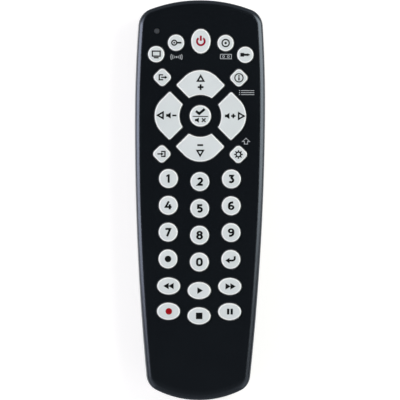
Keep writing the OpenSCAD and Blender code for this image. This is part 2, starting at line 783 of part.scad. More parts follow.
module lower_housing() {
    color([0.06, 0.065, 0.08])
        difference() {
            union() {
                lower_shell();
                intersection() {
                    lower_form(wall / 2, belly_in, floor_t / 2, under_z);
                    lower_fittings();
                }
            }
            door_way(door_gap);
            block(2 * bay_half, bay_end, bay_y, -over, roof_z);
            for (s = [-1, 1])
                translate([s * cell_x, 0, 0])
                    block(tab_w + 2 * tab_gap, bay_y - sheet_t - tab_gap, bay_y, roof_z - over,
                          roof_top + over);
            for (p = screws) {
                peg(p, screw_r + shank_gap, 0, boss_z + over);
                peg(p, head_r + head_gap, 0, head_z);
            }
            at_hooks()
                block(hook_w + 2 * barb_gap, -hook_in - hook_t - barb_gap, barb_w + barb_gap - hook_in,
                      part_z - barb_drop - barb_h - barb_gap, part_z - barb_drop + fit_gap);
            at_hooks()
                block(hook_w + 2 * barb_gap, -hook_in - hook_t - barb_gap, barb_gap - hook_in,
                      part_z - barb_drop - barb_h - barb_gap, part_z + over);
        }
}
module battery_door() {
    color([0.06, 0.065, 0.08])
        difference() {
            intersection() {
                lower_form(0, belly_in, 0, part_z);
                union() {
                    block(2 * door_half, tail_y, door_y, 0, door_t);
                    for (s = [-1, 1])
                        translate([s * door_half, 0, 0])
                            block(2 * tongue_w, tail_y, door_y, tongue_z, tongue_z + tongue_t);
                }
            }
            for (i = [0 : grip_n - 1])
                translate([0, tail_y + grip_back + (i - (grip_n - 1) / 2) * grip_pitch, 0])
                    block(grip_l, -grip_w / 2, grip_w / 2, -over, grip_d);
        }
}

// Rubber web, board and what is soldered to it.
module keypad_web() {
    color([0.2, 0.2, 0.21])
        difference() {
            union() {
                slab(wall + draft + board_gap, board_tail, web_nose, board_top, web_t);
                for (p = plunger_spots)
                    translate([p.x, p.y, web_top - web_t / 2])
                        cylinder(r1 = plunger_r + plunger_gap + dome_foot,
                                 r2 = plunger_r + plunger_gap + dome_rim, h = dome_h + web_t / 2);
            }
            for (p = plunger_spots) peg(p, plunger_r + plunger_gap, board_top - over, dome_top + over);
            for (p = board_posts) peg(p, post_r + post_gap, board_top - over, web_top + over);
            for (p = slim_posts) peg(p, post_r + post_gap, board_top - over, web_top + over);
            peg(lens_at, lens_r + post_gap, board_top - over, web_top + over);
        }
}
module circuit_board() {
    color([0.55, 0.38, 0.18])
        slab(wall + draft + board_gap, board_tail, board_nose, board_z, board_t);
}
module ir_led() {
    lamp_z = board_z + board_t / 2;
    color([0.1, 0.1, 0.16, 0.9]) {
        translate([0, board_nose, lamp_z])
            rotate([-90, 0, 0]) {
                cylinder(r = lamp_r + lamp_rim, h = lamp_rim_t);
                cylinder(r = lamp_r, h = lamp_rim_t + lamp_l);
                translate([0, 0, lamp_rim_t + lamp_l])
                    sphere(lamp_r);
            }
        for (z = [board_z - leg_w, board_top])
            block(leg_w, board_nose - leg_l, board_nose + lamp_rim_t / 2, z, z + leg_w);
    }
}
module indicator_led() {
    color([0.85, 0.85, 0.8])
        at(lens_at)
            block(indicator_w, -indicator_w / 2, indicator_w / 2, board_top, board_top + indicator_h);
}
module indicator_lens() {
    color([0.28, 0.29, 0.31]) {
        peg(lens_at, lens_r, board_top + indicator_h + lens_air, body_h);
        peg(lens_at, lens_flange_r, under_z - lens_flange_t, under_z);
    }
}
module controller_chip() {
    color([0.08, 0.08, 0.085])
        translate([0, nose_y - chip_back, 0]) {
            block(chip_w, -chip_l / 2, chip_l / 2, board_z - chip_h - pin_t, board_z - pin_t);
            for (i = [0 : pin_n - 1], s = [-1, 1])
                translate([s * (chip_w + pin_out) / 2, (i - (pin_n - 1) / 2) * pin_pitch, 0]) {
                    block(pin_out, -pin_w / 2, pin_w / 2, board_z - pin_t, board_z);
                    translate([-s * pin_out / 2, 0, 0])
                        block(pin_out, -pin_w / 2, pin_w / 2, board_z - chip_h / 2, board_z - pin_t / 2);
                }
        }
}
module legs(n, pitch) {
    for (i = [0 : n - 1])
        translate([(i - (n - 1) / 2) * pitch, 0, 0])
            block(leg_w, -leg_w / 2, leg_w / 2, board_z - stand_h - over, board_z);
}
module resonator() {
    color([0.8, 0.5, 0.2])
        translate([component_x, nose_y - component_back, 0]) {
            translate([0, 0, board_z - stand_h - resonator_h])
                linear_extrude(resonator_h) {
                    square([resonator_w - resonator_t, resonator_t], center = true);
                    for (s = [-1, 1])
                        translate([s * (resonator_w - resonator_t) / 2, 0])
                            circle(d = resonator_t);
                }
            legs(3, leg_pitch);
        }
}
module capacitor() {
    color([0.1, 0.12, 0.2])
        translate([-component_x, nose_y - component_back, 0]) {
            translate([0, -capacitor_l / 2, board_z - stand_h - capacitor_r])
                rotate([-90, 0, 0])
                    difference() {
                        cylinder(r = capacitor_r, h = capacitor_l);
                        translate([0, 0, capacitor_r / 2])
                            rotate_extrude()
                                translate([capacitor_r + capacitor_groove / 2, 0])
                                    circle(capacitor_groove * 2);
                    }
            translate([0, capacitor_l / 2 - leg_pitch, 0])
                legs(2, leg_pitch);
        }
}
module driver_transistor() {
    color([0.09, 0.09, 0.09])
        translate([0, nose_y - transistor_back, 0]) {
            intersection() {
                peg([0, 0], transistor_r, board_z - stand_h - transistor_h, board_z - stand_h);
                block(2 * transistor_r, -transistor_r / 2, transistor_r, 0, board_z);
            }
            legs(3, leg_pitch / 2);
        }
}
module chip_resistors() {
    color([0.12, 0.12, 0.12])
        for (i = [0 : resistor_n - 1])
            translate([(i - (resistor_n - 1) / 2) * resistor_pitch, nose_y - resistor_back, 0])
                block(resistor_w, -resistor_l / 2, resistor_l / 2, board_z - resistor_h, board_z);
}

// Cells and their contacts.
module cell() {
    rotate([-90, 0, 0])
        rotate_extrude()
            intersection() {
                union() {
                    translate([cell_edge - cell_r, 0])
                        square([2 * (cell_r - cell_edge), cell_l - cap_h]);
                    translate([0, cell_edge])
                        square([cell_r, cell_l - cap_h - 2 * cell_edge]);
                    for (y = [cell_edge, cell_l - cap_h - cell_edge])
                        translate([cell_r - cell_edge, y])
                            circle(cell_edge);
                    square([cap_r, cell_l]);
                }
                square([cell_r, cell_l]);
            }
}
module battery_left() {
    color([0.25, 0.27, 0.3])
        translate([-cell_x, bay_y - sheet_t - cell_l, cell_z])
            cell();
}
module battery_right() {
    color([0.25, 0.27, 0.3])
        translate([cell_x, bay_end + sheet_t + cell_l, cell_z])
            mirror([0, 1, 0])
                cell();
}

// a conical coil standing on z = 0
coil_n = round(spring_turns * wire_rings);
coil_h = spring_l - spring_air - spring_wire / 2;
function coil_at(i) =
    let (a = 360 * i / wire_rings, r = spring_foot_r + (spring_tip_r - spring_foot_r) * i / coil_n)
    [r * cos(a), r * sin(a), coil_h * i / coil_n];
coil_rings = [for (i = [0 : coil_n])
    let (c = coil_at(i), a = 360 * i / wire_rings)
    [for (k = [0 : wire_sides - 1]) let (t = 360 * k / wire_sides)
        c + spring_wire / 2 * [cos(t) * cos(a), cos(t) * sin(a), sin(t)]]];
coil_gap = min([for (i = [0 : coil_n], j = [0 : coil_n]) if (j > i + wire_rings / 2)
    each [for (p = coil_rings[i], q = coil_rings[j]) norm(p - q)]]);
echo(spring_least_gap_to_itself = coil_gap);
module coil() {
    loft([for (r = coil_rings) [for (k = [wire_sides - 1 : -1 : 0]) r[k]]], true);
}
module sheet(w) {
    block(w, -sheet_t, 0, cell_z - sheet_h / 2, cell_z + sheet_h / 2);
}
module tab() {
    block(tab_w, -sheet_t, 0, cell_z, board_z);
}
module positive_contact() {
    color([0.75, 0.75, 0.73])
        translate([-cell_x, bay_y, 0]) {
            sheet(sheet_w);
            tab();
        }
}
module negative_spring() {
    color([0.75, 0.75, 0.73])
        translate([cell_x, bay_y, 0]) {
            sheet(sheet_w);
            tab();
            translate([0, -sheet_t, cell_z])
                rotate([90, 0, 0])
                    coil();
        }
}
module bridge_contact() {
    color([0.75, 0.75, 0.73])
        translate([0, bay_end, 0]) {
            translate([0, sheet_t, 0])
                sheet(sheet_w + 2 * cell_x);
            translate([-cell_x, sheet_t, cell_z])
                rotate([-90, 0, 0])
                    coil();
        }
}

// Screws that hold the shells together, driven from under the door.
module case_screws() {
    color([0.6, 0.6, 0.62])
        for (p = screws)
            difference() {
                union() {
                    peg(p, head_r, head_z - head_h, head_z);
                    peg(p, screw_r, head_z - head_h / 2, head_z + screw_l);
                }
                at(p)
                    for (a = [0, 90])
                        rotate([0, 0, a])
                            block(cross_l, -cross_w / 2, cross_w / 2, head_z - head_h - over,
                                  head_z - head_h + cross_d);
            }
}

upper_housing();
lower_housing();
battery_door();
ir_window();
indicator_lens();
keypad_web();
circuit_board();
ir_led();
indicator_led();
controller_chip();
resonator();
capacitor();
driver_transistor();
chip_resistors();
battery_left();
battery_right();
positive_contact();
negative_spring();
bridge_contact();
case_screws();
power_key();
tv_key();
cable_key();
disc_key();
aux_key();
exit_key();
info_key();
input_key();
setup_key();
ok_key();
up_key();
down_key();
left_key();
right_key();
digit_1_key();
digit_2_key();
digit_3_key();
digit_4_key();
digit_5_key();
digit_6_key();
digit_7_key();
digit_8_key();
digit_9_key();
digit_0_key();
dot_key();
enter_key();
rewind_key();
play_key();
fast_forward_key();
record_key();
stop_key();
pause_key();
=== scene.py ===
"""Universal remote control: smooth shells, rubber keys, printed marks, finishes, light and camera."""
import json
import math

import bmesh
import bpy
import numpy as np
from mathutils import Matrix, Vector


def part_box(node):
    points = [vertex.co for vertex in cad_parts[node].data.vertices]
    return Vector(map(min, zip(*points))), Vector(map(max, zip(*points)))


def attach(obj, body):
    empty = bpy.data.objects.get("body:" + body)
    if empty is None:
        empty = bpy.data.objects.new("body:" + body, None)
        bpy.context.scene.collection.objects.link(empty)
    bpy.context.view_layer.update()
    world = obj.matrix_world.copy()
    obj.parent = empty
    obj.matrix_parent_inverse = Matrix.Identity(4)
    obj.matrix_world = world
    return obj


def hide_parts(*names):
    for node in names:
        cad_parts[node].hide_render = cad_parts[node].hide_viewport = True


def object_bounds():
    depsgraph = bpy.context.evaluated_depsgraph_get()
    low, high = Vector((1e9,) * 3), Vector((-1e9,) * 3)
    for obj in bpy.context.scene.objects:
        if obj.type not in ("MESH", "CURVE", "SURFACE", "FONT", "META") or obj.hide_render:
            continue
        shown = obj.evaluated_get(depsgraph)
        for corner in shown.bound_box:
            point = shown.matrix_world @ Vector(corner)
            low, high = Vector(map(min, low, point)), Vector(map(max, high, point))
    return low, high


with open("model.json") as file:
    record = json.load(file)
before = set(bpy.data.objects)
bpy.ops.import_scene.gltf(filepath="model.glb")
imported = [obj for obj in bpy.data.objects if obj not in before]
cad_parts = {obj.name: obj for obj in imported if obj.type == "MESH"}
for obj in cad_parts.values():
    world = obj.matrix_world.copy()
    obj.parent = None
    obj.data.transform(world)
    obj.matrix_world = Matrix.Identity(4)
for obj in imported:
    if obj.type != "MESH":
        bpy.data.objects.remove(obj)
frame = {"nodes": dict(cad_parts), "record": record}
cad_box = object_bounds()

# Sizes are in millimetres until a mesh is made.
MM = 0.001


def node_box(node):
    """Lowest and highest corner of a node."""
    low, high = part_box(node)
    return np.array(low) / MM, np.array(high) / MM


def middle_of(node):
    """Middle of a node in plan."""
    low, high = node_box(node)
    return (low[:2] + high[:2]) / 2


# Body, read from the frame. The shells meet at the foot of the window.
HALF_W = cad_box[1][0] / MM
NOSE_Y = cad_box[1][1] / MM
TAIL_Y = cad_box[0][1] / MM
FACE_Z = node_box("upper_housing")[1][2]
JOINT_Z = node_box("ir_window")[0][2]
WINDOW_Z = node_box("ir_window")[1][2]
KEY_TOP = node_box("ok_key")[1][2]
PAD_AT = middle_of("ok_key")

# Plan of the body, whose sides draw in from the widest point toward both ends.
WIDE_BACK = 49.8
NOSE_DRAW = 2.2
TAIL_DRAW = 7.05
NOSE_R = 63.7
TAIL_R = 42.4
NOSE_CORNER_R = 8.3
TAIL_CORNER_R = 8.0
WINDOW_HALF = 10.0
WINDOW_STEPS = 8

# Sections of the two shells. The belly rounds in from the outline and lifts over a length before the nose.
WALL = 2.0
FACE_T = 1.8
FLOOR_T = 1.8
DRAFT = 0.05
SEAM = 0.3
BELLY_IN = 7.0
HOLLOW_IN = 7.1
BELLY_STEPS = 16
NOSE_LIFT = 4.5
LIFT_L = 70.0
SHELL_ANGLE = 35

# Edge of the face: its reach inward and its height, along the sides and at the ends. It changes where the
# outline's turn toward an end lies between two shares. A flat band beside every edge keeps the shading level.
SIDE_ROLL = 2.7
NOSE_ROLL = 3.0
TAIL_ROLL = 4.0
SIDE_H = 2.0
END_H = 1.4
ROLL_FROM = 0.3
ROLL_TO = 0.9
ROLL_STEPS = 10
BAND = 0.15

# Keys and the lips of their apertures. The top of a key has rings at shares of the way from its middle to its
# edge. Beyond one share, and over the rounded edge, lies a painted highlight: a lighter tone that lifts the
# rim where the lamps leave it in shade.
KEY_GAP = 0.3
KEY_EDGE = 0.4
KEY_TRIM = 0.13
EDGE_STEPS = 6
CROWN_RINGS = (0.97, 0.945, 0.7, 0.48, 0.28, 0.12)
ROUND_CROWN = 0.3
FLAT_CROWN = 0.14
SMALL_KEY_HIGHLIGHT_SHARE = 0.8
PAD_KEY_HIGHLIGHT_SHARE = 0.95
FLANGE_W = 0.6
FLANGE_T = 0.8
FLANGE_GAP = 0.25
PLUNGER_R = 1.9
PLUNGER_STEPS = 28
PLUNGER_LAP = 0.04
LIP_R = 0.1
LIP_STEPS = 3
UNDER_Z = FACE_Z - FACE_T
FLANGE_Z1 = UNDER_Z - FLANGE_GAP
FLANGE_Z0 = FLANGE_Z1 - FLANGE_T

# Printed marks: height over the surface, depth below it, and how finely they follow it.
INK = 0.04
INK_DEPTH = 0.16
MARK_STEP = 0.9
MARK_CUTS = 4

# Direction and corner keys.
PAD_FLAT = 17.68
PAD_APEX_R = 10.4
PAD_SPACE = 3.7
PAD_BORE_R = 9.3
PAD_CORNER_R = 0.9
PAD_TIP_R = 0.6
PAD_MIDDLE = 14.0
DIAMOND_FLAT = 3.42
DIAMOND_R = 2.0

# Door, bay and screws.
DOOR_HALF = 13.6
DOOR_T = 1.6
DOOR_Y = node_box("battery_door")[1][1]
DOOR_GAP = 0.2
TONGUE_W = 1.4
TONGUE_T = 1.1
TONGUE_Z = 1.2
SEAT_T = 1.5
GRIP_ROWS = 6
GRIP_PITCH = 2.4
GRIP_BACK = 20.0
GRIP_L = 18.0
GRIP_R = 0.62
GRIP_DEPTH = 0.5
GRIP_ANGLES = (10, 30, 50, 70, 90)
GRIP_STEPS = 20
ARROW_DEPTH = 0.3
ARROW_BACK = 31.5
ARROW_HALF = 4.0
ARROW_L = 4.0
CELL_LOW, CELL_HIGH = node_box("battery_left")
CELL_R = (CELL_HIGH[0] - CELL_LOW[0]) / 2
CELL_X = -(CELL_HIGH[0] + CELL_LOW[0]) / 2
CELL_Z = (CELL_HIGH[2] + CELL_LOW[2]) / 2
CELL_GAP = 0.3
BAY_WALL = 1.1
BAY_HALF = CELL_X + CELL_R + CELL_GAP
BAY_TOP = CELL_Z + CELL_R + CELL_GAP
BAY_Y1 = node_box("positive_contact")[1][1]
BAY_Y0 = node_box("bridge_contact")[0][1]
SCREW_LOW, SCREW_HIGH = node_box("case_screws")
HEAD_R = 2.0
HEAD_GAP = 0.4
HEAD_SEAT_Z = 5.0
SHANK_HOLE_R = 1.25
BOSS_R = 3.7
BOSS_Z = 8.5
SCREW_X = SCREW_HIGH[0] - HEAD_R
SCREW_Y = (SCREW_LOW[1] + SCREW_HIGH[1]) / 2
PEG_STEPS = 40

# Window in the nose and lens in the face.
WINDOW_T = 3.4
WINDOW_SOFT = 0.1
LENS_AT = middle_of("indicator_lens")
LENS_Z = node_box("indicator_lens")[0][2]
LENS_R = 1.15
LENS_GAP = 0.1
LENS_DOME = 0.12
LENS_LIP_R = 0.04
LENS_STEPS = 32
DOME_ANGLES = (20, 40, 60, 75)
WINDOW_TOP = WINDOW_Z + LENS_GAP

# Contacts: pressed sheets and wound springs.
SHEET_T = 0.6
SHEET_W = 8.0
SHEET_H = 8.0
SHEET_CORNER = 1.0
CORNER_STEPS = 6
TAB_W = 2.4
SPRING_L = 5.6
SPRING_WIRE = 0.7
SPRING_TURNS = 4
SPRING_FOOT_R = 3.3
SPRING_TIP_R = 2.3
SPRING_AIR = 0.1
WIRE_SIDES = 10
WIRE_RINGS = 26


# Plan curves. An arc is (centre, radius, first normal, last normal, steps, skipped first, skipped last) with
# angles in degrees; a hollow arc has a negative radius. An inset moves every arc along its normal.
def direction(angle):
    """Unit vector at an angle from +X."""
    return np.array([math.cos(math.radians(angle)), math.sin(math.radians(angle))])


def bearing(v):
    """Angle of a vector from +X."""
    return math.degrees(math.atan2(v[1], v[0]))


def chain(arcs, inset=0.0):
    points = []
    for centre, radius, first, last, steps, skip_first, skip_last in arcs:
        for i in range(skip_first, steps - skip_last + 1):
            angle = first + (last - first) * i / steps
            points.append(np.array(centre) + (radius - inset) * direction(angle))
    return np.array(points)


def meet(c1, d1, c2, d2, way):
    """Point at distances d1 and d2 from two centres."""
    d = np.linalg.norm(c2 - c1)
    along = (d1 * d1 - d2 * d2 + d * d) / (2 * d)
    off = math.sqrt(d1 * d1 - along * along)
    u = (c2 - c1) / d
    return c1 + along * u + way * off * np.array([-u[1], u[0]])


def side_radius(run, drop):
    """Radius of an arc that drops by so much over a run."""
    return (run * run + drop * drop) / (2 * drop)


WIDE_Y = NOSE_Y - WIDE_BACK
UPPER_R = side_radius(WIDE_BACK, NOSE_DRAW)
LOWER_R = side_radius(WIDE_Y - TAIL_Y, TAIL_DRAW)
UPPER_C = np.array([HALF_W - UPPER_R, WIDE_Y])
LOWER_C = np.array([HALF_W - LOWER_R, WIDE_Y])
NOSE_C = np.array([0.0, NOSE_Y - NOSE_R])
TAIL_C = np.array([0.0, TAIL_Y + TAIL_R])
NOSE_K = meet(UPPER_C, UPPER_R - NOSE_CORNER_R, NOSE_C, NOSE_R - NOSE_CORNER_R, 1)
TAIL_K = meet(LOWER_C, LOWER_R - TAIL_CORNER_R, TAIL_C, TAIL_R - TAIL_CORNER_R, -1)
WINDOW_A = 90 - math.degrees(math.asin(WINDOW_HALF / NOSE_R))
HALF_ARCS = [
    (TAIL_C, TAIL_R, -90, bearing(TAIL_K - TAIL_C), 12, 0, 1),
    (TAIL_K, TAIL_CORNER_R, bearing(TAIL_K - TAIL_C), bearing(TAIL_K - LOWER_C), 14, 0, 1),
    (LOWER_C, LOWER_R, bearing(TAIL_K - LOWER_C), 0, 22, 0, 1),
    (UPPER_C, UPPER_R, 0, bearing(NOSE_K - UPPER_C), 12, 0, 1),
    (NOSE_K, NOSE_CORNER_R, bearing(NOSE_K - UPPER_C), bearing(NOSE_K - NOSE_C), 14, 0, 1),
    (NOSE_C, NOSE_R, bearing(NOSE_K - NOSE_C), WINDOW_A, 6, 0, 1),
    (NOSE_C, NOSE_R, WINDOW_A, 90, WINDOW_STEPS, 0, 0)]


def outline(inset):
    """The body in plan, from the middle of the tail round the right side."""
    half = chain(HALF_ARCS, inset)
    return np.vstack([half, half[-2:0:-1] * [-1, 1]])


RIM = outline(0)
OUTWARD = RIM - outline(1)
NOSE_I = len(RIM) // 2
WINDOW_I = range(NOSE_I - WINDOW_STEPS, NOSE_I + WINDOW_STEPS)


def quarter(steps):
    """Shares inward and down along a quarter round, from its foot to its top."""
    angles = [math.pi / 2 * k / steps for k in range(steps + 1)]
    return [(1 - math.cos(a), 1 - math.sin(a)) for a in angles]


def circle_arcs(radius, steps=56):
    return [((0, 0), radius, 0, 360, steps, 0, 1)]


def oval_arcs(a, b, steps=64):
    """An ellipse as arcs of no radius, so that an inset moves each point along its normal."""
    arcs = []
    for i in range(steps):
        t = math.radians(360 * i / steps)
        normal = bearing((b * math.cos(t), a * math.sin(t)))
        arcs.append(((a * math.cos(t), b * math.sin(t)), 0, normal, normal, 1, 0, 1))
    return arcs


def diamond_arcs():
    """A square on its corner with rounded corners."""
    reach = (DIAMOND_FLAT - DIAMOND_R) * math.sqrt(2)
    return [(reach * direction(90 * q), DIAMOND_R, 90 * q - 45, 90 * q + 45, 10, 0, 0) for q in range(4)]


def pad_arcs(turn):
    """One direction key about the middle of the pad, turned from +Y."""
    flank = np.array([1, 1]) / math.sqrt(2)
    across = np.array([1, -1]) / math.sqrt(2)
    apex = np.array([0, (PAD_FLAT - PAD_APEX_R) * math.sqrt(2)])
    side = flank * (PAD_FLAT - PAD_CORNER_R) - across * (PAD_SPACE / 2 + PAD_CORNER_R)
    tip_d = PAD_SPACE / 2 + PAD_TIP_R
    tip = flank * math.sqrt((PAD_BORE_R + PAD_TIP_R) ** 2 - tip_d ** 2) - across * tip_d
    tip_a = bearing(tip)
    left = np.array([-1, 1])
    arcs = [
        (apex, PAD_APEX_R, 45, 135, 24, 0, 0),
        (side * left, PAD_CORNER_R, 135, 225, 8, 0, 0),
        (tip * left, PAD_TIP_R, 225, 360 - tip_a, 6, 0, 0),
        ((0, 0), -PAD_BORE_R, 360 - tip_a, 180 + tip_a, 16, 1, 1),
        (tip, PAD_TIP_R, 180 + tip_a, 315, 6, 0, 0),
        (side, PAD_CORNER_R, 315, 405, 8, 0, 0)]
    c, s = direction(turn)
    rotate = np.array([[c, -s], [s, c]])
    return [(rotate @ np.array(a[0]), a[1], a[2] + turn, a[3] + turn, *a[4:]) for a in arcs]


# Meshes. Points nearer than the weld, in metres, are joined, and edges steeper than the angle stay sharp.
WELD = 1e-7
SHARP_ANGLE = 40


class Shape:
    """Points and faces of one piece, with the number of each face's material."""

    def __init__(self):
        self.points = []
        self.faces = []
        self.looks = []

    def ring(self, plan, z):
        """Adds a ring of points and gives their numbers."""
        first = len(self.points)
        heights = np.broadcast_to(z, len(plan))
        self.points += [(p[0], p[1], h) for p, h in zip(plan, heights)]
        return list(range(first, len(self.points)))

    def point(self, x, y, z):
        self.points.append((x, y, z))
        return len(self.points) - 1

    def face(self, corners, look=0):
        self.faces.append(tuple(corners))
        self.looks.append(look)

    def band(self, low, high, look=0, skip=()):
        """Quads between two closed rings, apart from those to skip."""
        n = len(low)
        for i in range(n):
            if i not in skip:
                j = (i + 1) % n
                self.face((low[i], low[j], high[j], high[i]), look)

    def fan(self, ring, middle, look=0):
        for i in range(len(ring)):
            self.face((ring[i], ring[(i + 1) % len(ring)], middle), look)

    def strip(self, low, high):
        for i in range(len(low) - 1):
            self.face((low[i], low[i + 1], high[i + 1], high[i]))

    def bands(self, rows):
        """Bands through a list of rings."""
        for low, high in zip(rows, rows[1:]):
            self.band(low, high)

    def tube(self, rows):
        """A closed solid through rings, with a face at each end."""
        self.bands(rows)
        self.face(rows[0])
        self.face(rows[-1])

    def prism(self, plan, low, high, look=0):
        bottom = self.ring(plan, low)
        top = self.ring(plan, high)
        self.band(bottom, top, look)
        self.face(top, look)
        self.face(bottom[::-1], look)

    def loft(self, rings):
        """A closed solid through rings of the body's plan, with ladder caps at both ends."""
        rows = [self.ring(plan, z) for plan, z in rings]
        self.bands(rows)
        for row in (rows[0], rows[-1]):
            n = len(row)
            self.face((row[0], row[1], row[n - 1]))
            self.face((row[n // 2 - 1], row[n // 2], row[n // 2 + 1]))
            for i in range(1, n // 2 - 1):
                self.face((row[i], row[i + 1], row[n - i - 1], row[n - i]))

    def fill(self, loops):
        """Triangles over a flat region between an outer loop and the loops of its holes."""
        work = bmesh.new()
        for path in loops:
            verts = [work.verts.new(self.points[i]) for i in path]
            for i, v in enumerate(verts):
                work.edges.new((v, verts[(i + 1) % len(verts)]))
        numbers = [i for path in loops for i in path]
        work.verts.index_update()
        bmesh.ops.triangle_fill(work, use_beauty=True, use_dissolve=False, edges=work.edges[:])
        for f in work.faces:
            self.face([numbers[v.index] for v in f.verts])
        work.free()

    def build(self, name, materials, angle=SHARP_ANGLE):
        """Makes the object, in metres, smooth where edges are below the angle."""
        mesh = bpy.data.meshes.new(name)
        mesh.from_pydata([tuple(c * MM for c in p) for p in self.points], [], self.faces)
        for m in materials:
            mesh.materials.append(m)
        mesh.polygons.foreach_set("material_index", self.looks)
        obj = add_object(name, mesh)
        tidy(obj, angle)
        return obj


def add_object(name, data):
    obj = bpy.data.objects.new(name, data)
    bpy.context.scene.collection.objects.link(obj)
    return obj


def tidy(obj, angle):
    """Joins doubled points, turns normals outward and sets sharp edges."""
    work = bmesh.new()
    work.from_mesh(obj.data)
    bmesh.ops.remove_doubles(work, verts=work.verts[:], dist=WELD)
    bmesh.ops.recalc_face_normals(work, faces=work.faces[:])
    work.to_mesh(obj.data)
    work.free()
    obj.data.shade_smooth()
    obj.data.set_sharp_from_angle(angle=math.radians(angle))


def combine(target, tool, operation):
    """Boolean of two closed meshes; the tool is used up."""
    step = target.modifiers.new("combine", "BOOLEAN")
    step.operation = operation
    step.solver = "EXACT"
    step.object = tool
    bpy.context.view_layer.update()
    solved = target.evaluated_get(bpy.context.evaluated_depsgraph_get())
    made = bpy.data.meshes.new_from_object(solved)
    target.modifiers.clear()
    target.data = made
    bpy.data.objects.remove(tool)


def cut(target, tool):
    combine(target, tool, "DIFFERENCE")


def block(x0, x1, y0, y1, z0, z1):
    """A box as a tool for combine()."""
    shape = Shape()
    shape.prism(np.array([(x0, y0), (x1, y0), (x1, y1), (x0, y1)]), z0, z1)
    return shape.build("tool", [])


def peg(x, y, radius, z0, z1):
    """An upright cylinder as a tool for combine()."""
    shape = Shape()
    shape.prism(chain(circle_arcs(radius, PEG_STEPS)) + [x, y], z0, z1)
    return shape.build("tool", [])


# Finishes. The tone drifts in soft patches and the grain is fine; its depth is in metres.
DRIFT_SCALE = 60.0
DRIFT_DETAIL = 4
DRIFT_RANGE = (0.3, 0.7)
GRAIN_DETAIL = 3
GRAIN_DEPTH = 0.00005
NO_TINT = (1.0, 1.0, 1.0, 1.0)


def linear(red, green, blue):
    """Display values from 0 to 255 as linear colour."""
    parts = [value / 255 for value in (red, green, blue)]
    return (*[v / 12.92 if v <= 0.04045 else ((v + 0.055) / 1.055) ** 2.4 for v in parts], 1.0)


def give(node, values):
    """Sets inputs of a shader node by their names."""
    for name, value in values.items():
        node.inputs[name].default_value = value


def new_node(tree, kind, values=()):
    """Adds a shader node of a kind and sets its inputs."""
    node = tree.nodes.new("ShaderNode" + kind)
    give(node, dict(values))
    return node


def wire(tree, *links):
    """Makes links, each as (node, output, node, input)."""
    for source, output, target, entry in links:
        tree.links.new(source.outputs[output], target.inputs[entry])


def finish(name, dark, light, roughness, grain, bump, specular=0.5, spread=0.06, metallic=0.0, tint=NO_TINT):
    """A surface that drifts between two display colours, with a fine grain."""
    m = bpy.data.materials.new(name)
    m.use_nodes = True
    tree = m.node_tree
    shader = tree.nodes["Principled BSDF"]
    give(shader, {"Metallic": metallic, "Specular IOR Level": specular, "Specular Tint": tint})
    place = new_node(tree, "TexCoord")
    drift = new_node(tree, "TexNoise", {"Scale": DRIFT_SCALE, "Detail": DRIFT_DETAIL})
    ramp = new_node(tree, "ValToRGB")
    fine = new_node(tree, "TexNoise", {"Scale": grain, "Detail": GRAIN_DETAIL})
    gloss = new_node(tree, "MapRange", {"To Min": roughness - spread, "To Max": roughness + spread})
    relief = new_node(tree, "Bump", {"Strength": bump, "Distance": GRAIN_DEPTH})
    for element, position, colour in zip(ramp.color_ramp.elements, DRIFT_RANGE, (dark, light)):
        element.position = position
        element.color = linear(*colour)
    wire(tree, (place, "Object", drift, "Vector"), (place, "Object", fine, "Vector"),
         (drift, "Fac", ramp, "Fac"), (ramp, "Color", shader, "Base Color"),
         (fine, "Fac", gloss, "Value"), (gloss, "Result", shader, "Roughness"),
         (fine, "Fac", relief, "Height"), (relief, "Normal", shader, "Normal"))
    return m


def ink(name, dark, light):
    return finish(name, dark, light, 0.6, grain=6000, bump=0.05, specular=0.1)


CASE = finish("case_plastic", (3, 6, 10), (6, 10, 14), 0.22, grain=2600, bump=0.06,
              specular=0.95, tint=(0.72, 0.83, 1.0, 1.0))
KEY = finish("key_silicone", (212, 220, 223), (219, 226, 230), 0.5, grain=3600, bump=0.12, specular=0.35)
# A painted highlight: a lighter tone for the keys' rims that lifts them where the lamps leave them in shade.
KEY_RIM_PAINTED_HIGHLIGHT = finish("key_rim", (243, 249, 252), (252, 255, 255), 0.45, grain=3600, bump=0.08, specular=0.4)
INK_DARK = ink("dark_ink", (6, 10, 12), (12, 16, 18))
INK_RED = ink("red_ink", (146, 0, 14), (160, 4, 20))
INK_CRIMSON = ink("crimson_ink", (138, 0, 36), (152, 4, 46))
INK_PALE = finish("pale_ink", (160, 166, 172), (178, 183, 188), 0.55, grain=6000, bump=0.05)
WINDOW = finish("smoked_window", (20, 6, 8), (30, 8, 10), 0.08, grain=900, bump=0.01,
                specular=0.3, spread=0.02)
LENS = finish("smoked_lens", (62, 66, 71), (68, 72, 77), 0.5, grain=1500, bump=0.02, specular=0.1)
RUBBER = finish("web_rubber", (92, 93, 96), (106, 107, 110), 0.7, grain=2200, bump=0.2)
BOARD = finish("board_laminate", (168, 132, 78), (186, 150, 94), 0.45, grain=1800, bump=0.15)
LAMP = finish("lamp_resin", (96, 98, 118), (116, 118, 138), 0.12, grain=800, bump=0.01, spread=0.03)
COMPONENT = finish("component_resin", (40, 40, 42), (52, 52, 54), 0.6, grain=4000, bump=0.15)
CERAMIC = finish("resonator_ceramic", (196, 128, 52), (216, 146, 66), 0.35, grain=1500, bump=0.1)
SLEEVE = finish("capacitor_sleeve", (42, 56, 108), (52, 66, 122), 0.3, grain=1200, bump=0.05)
CONTACT = finish("nickel_contact", (186, 185, 180), (206, 205, 200), 0.28, grain=1600, bump=0.08,
                 metallic=1.0)
SCREW = finish("screw_steel", (150, 150, 152), (176, 176, 178), 0.32, grain=1800, bump=0.1, metallic=1.0)

# Tones along a cell from its flat end, each from a share of its length on: metal, sleeve, band and metal.
CELL_TONES = [(0.0, (180, 178, 172)), (0.012, (46, 48, 54)), (0.7, (168, 104, 46)),
              (0.965, (186, 184, 178))]


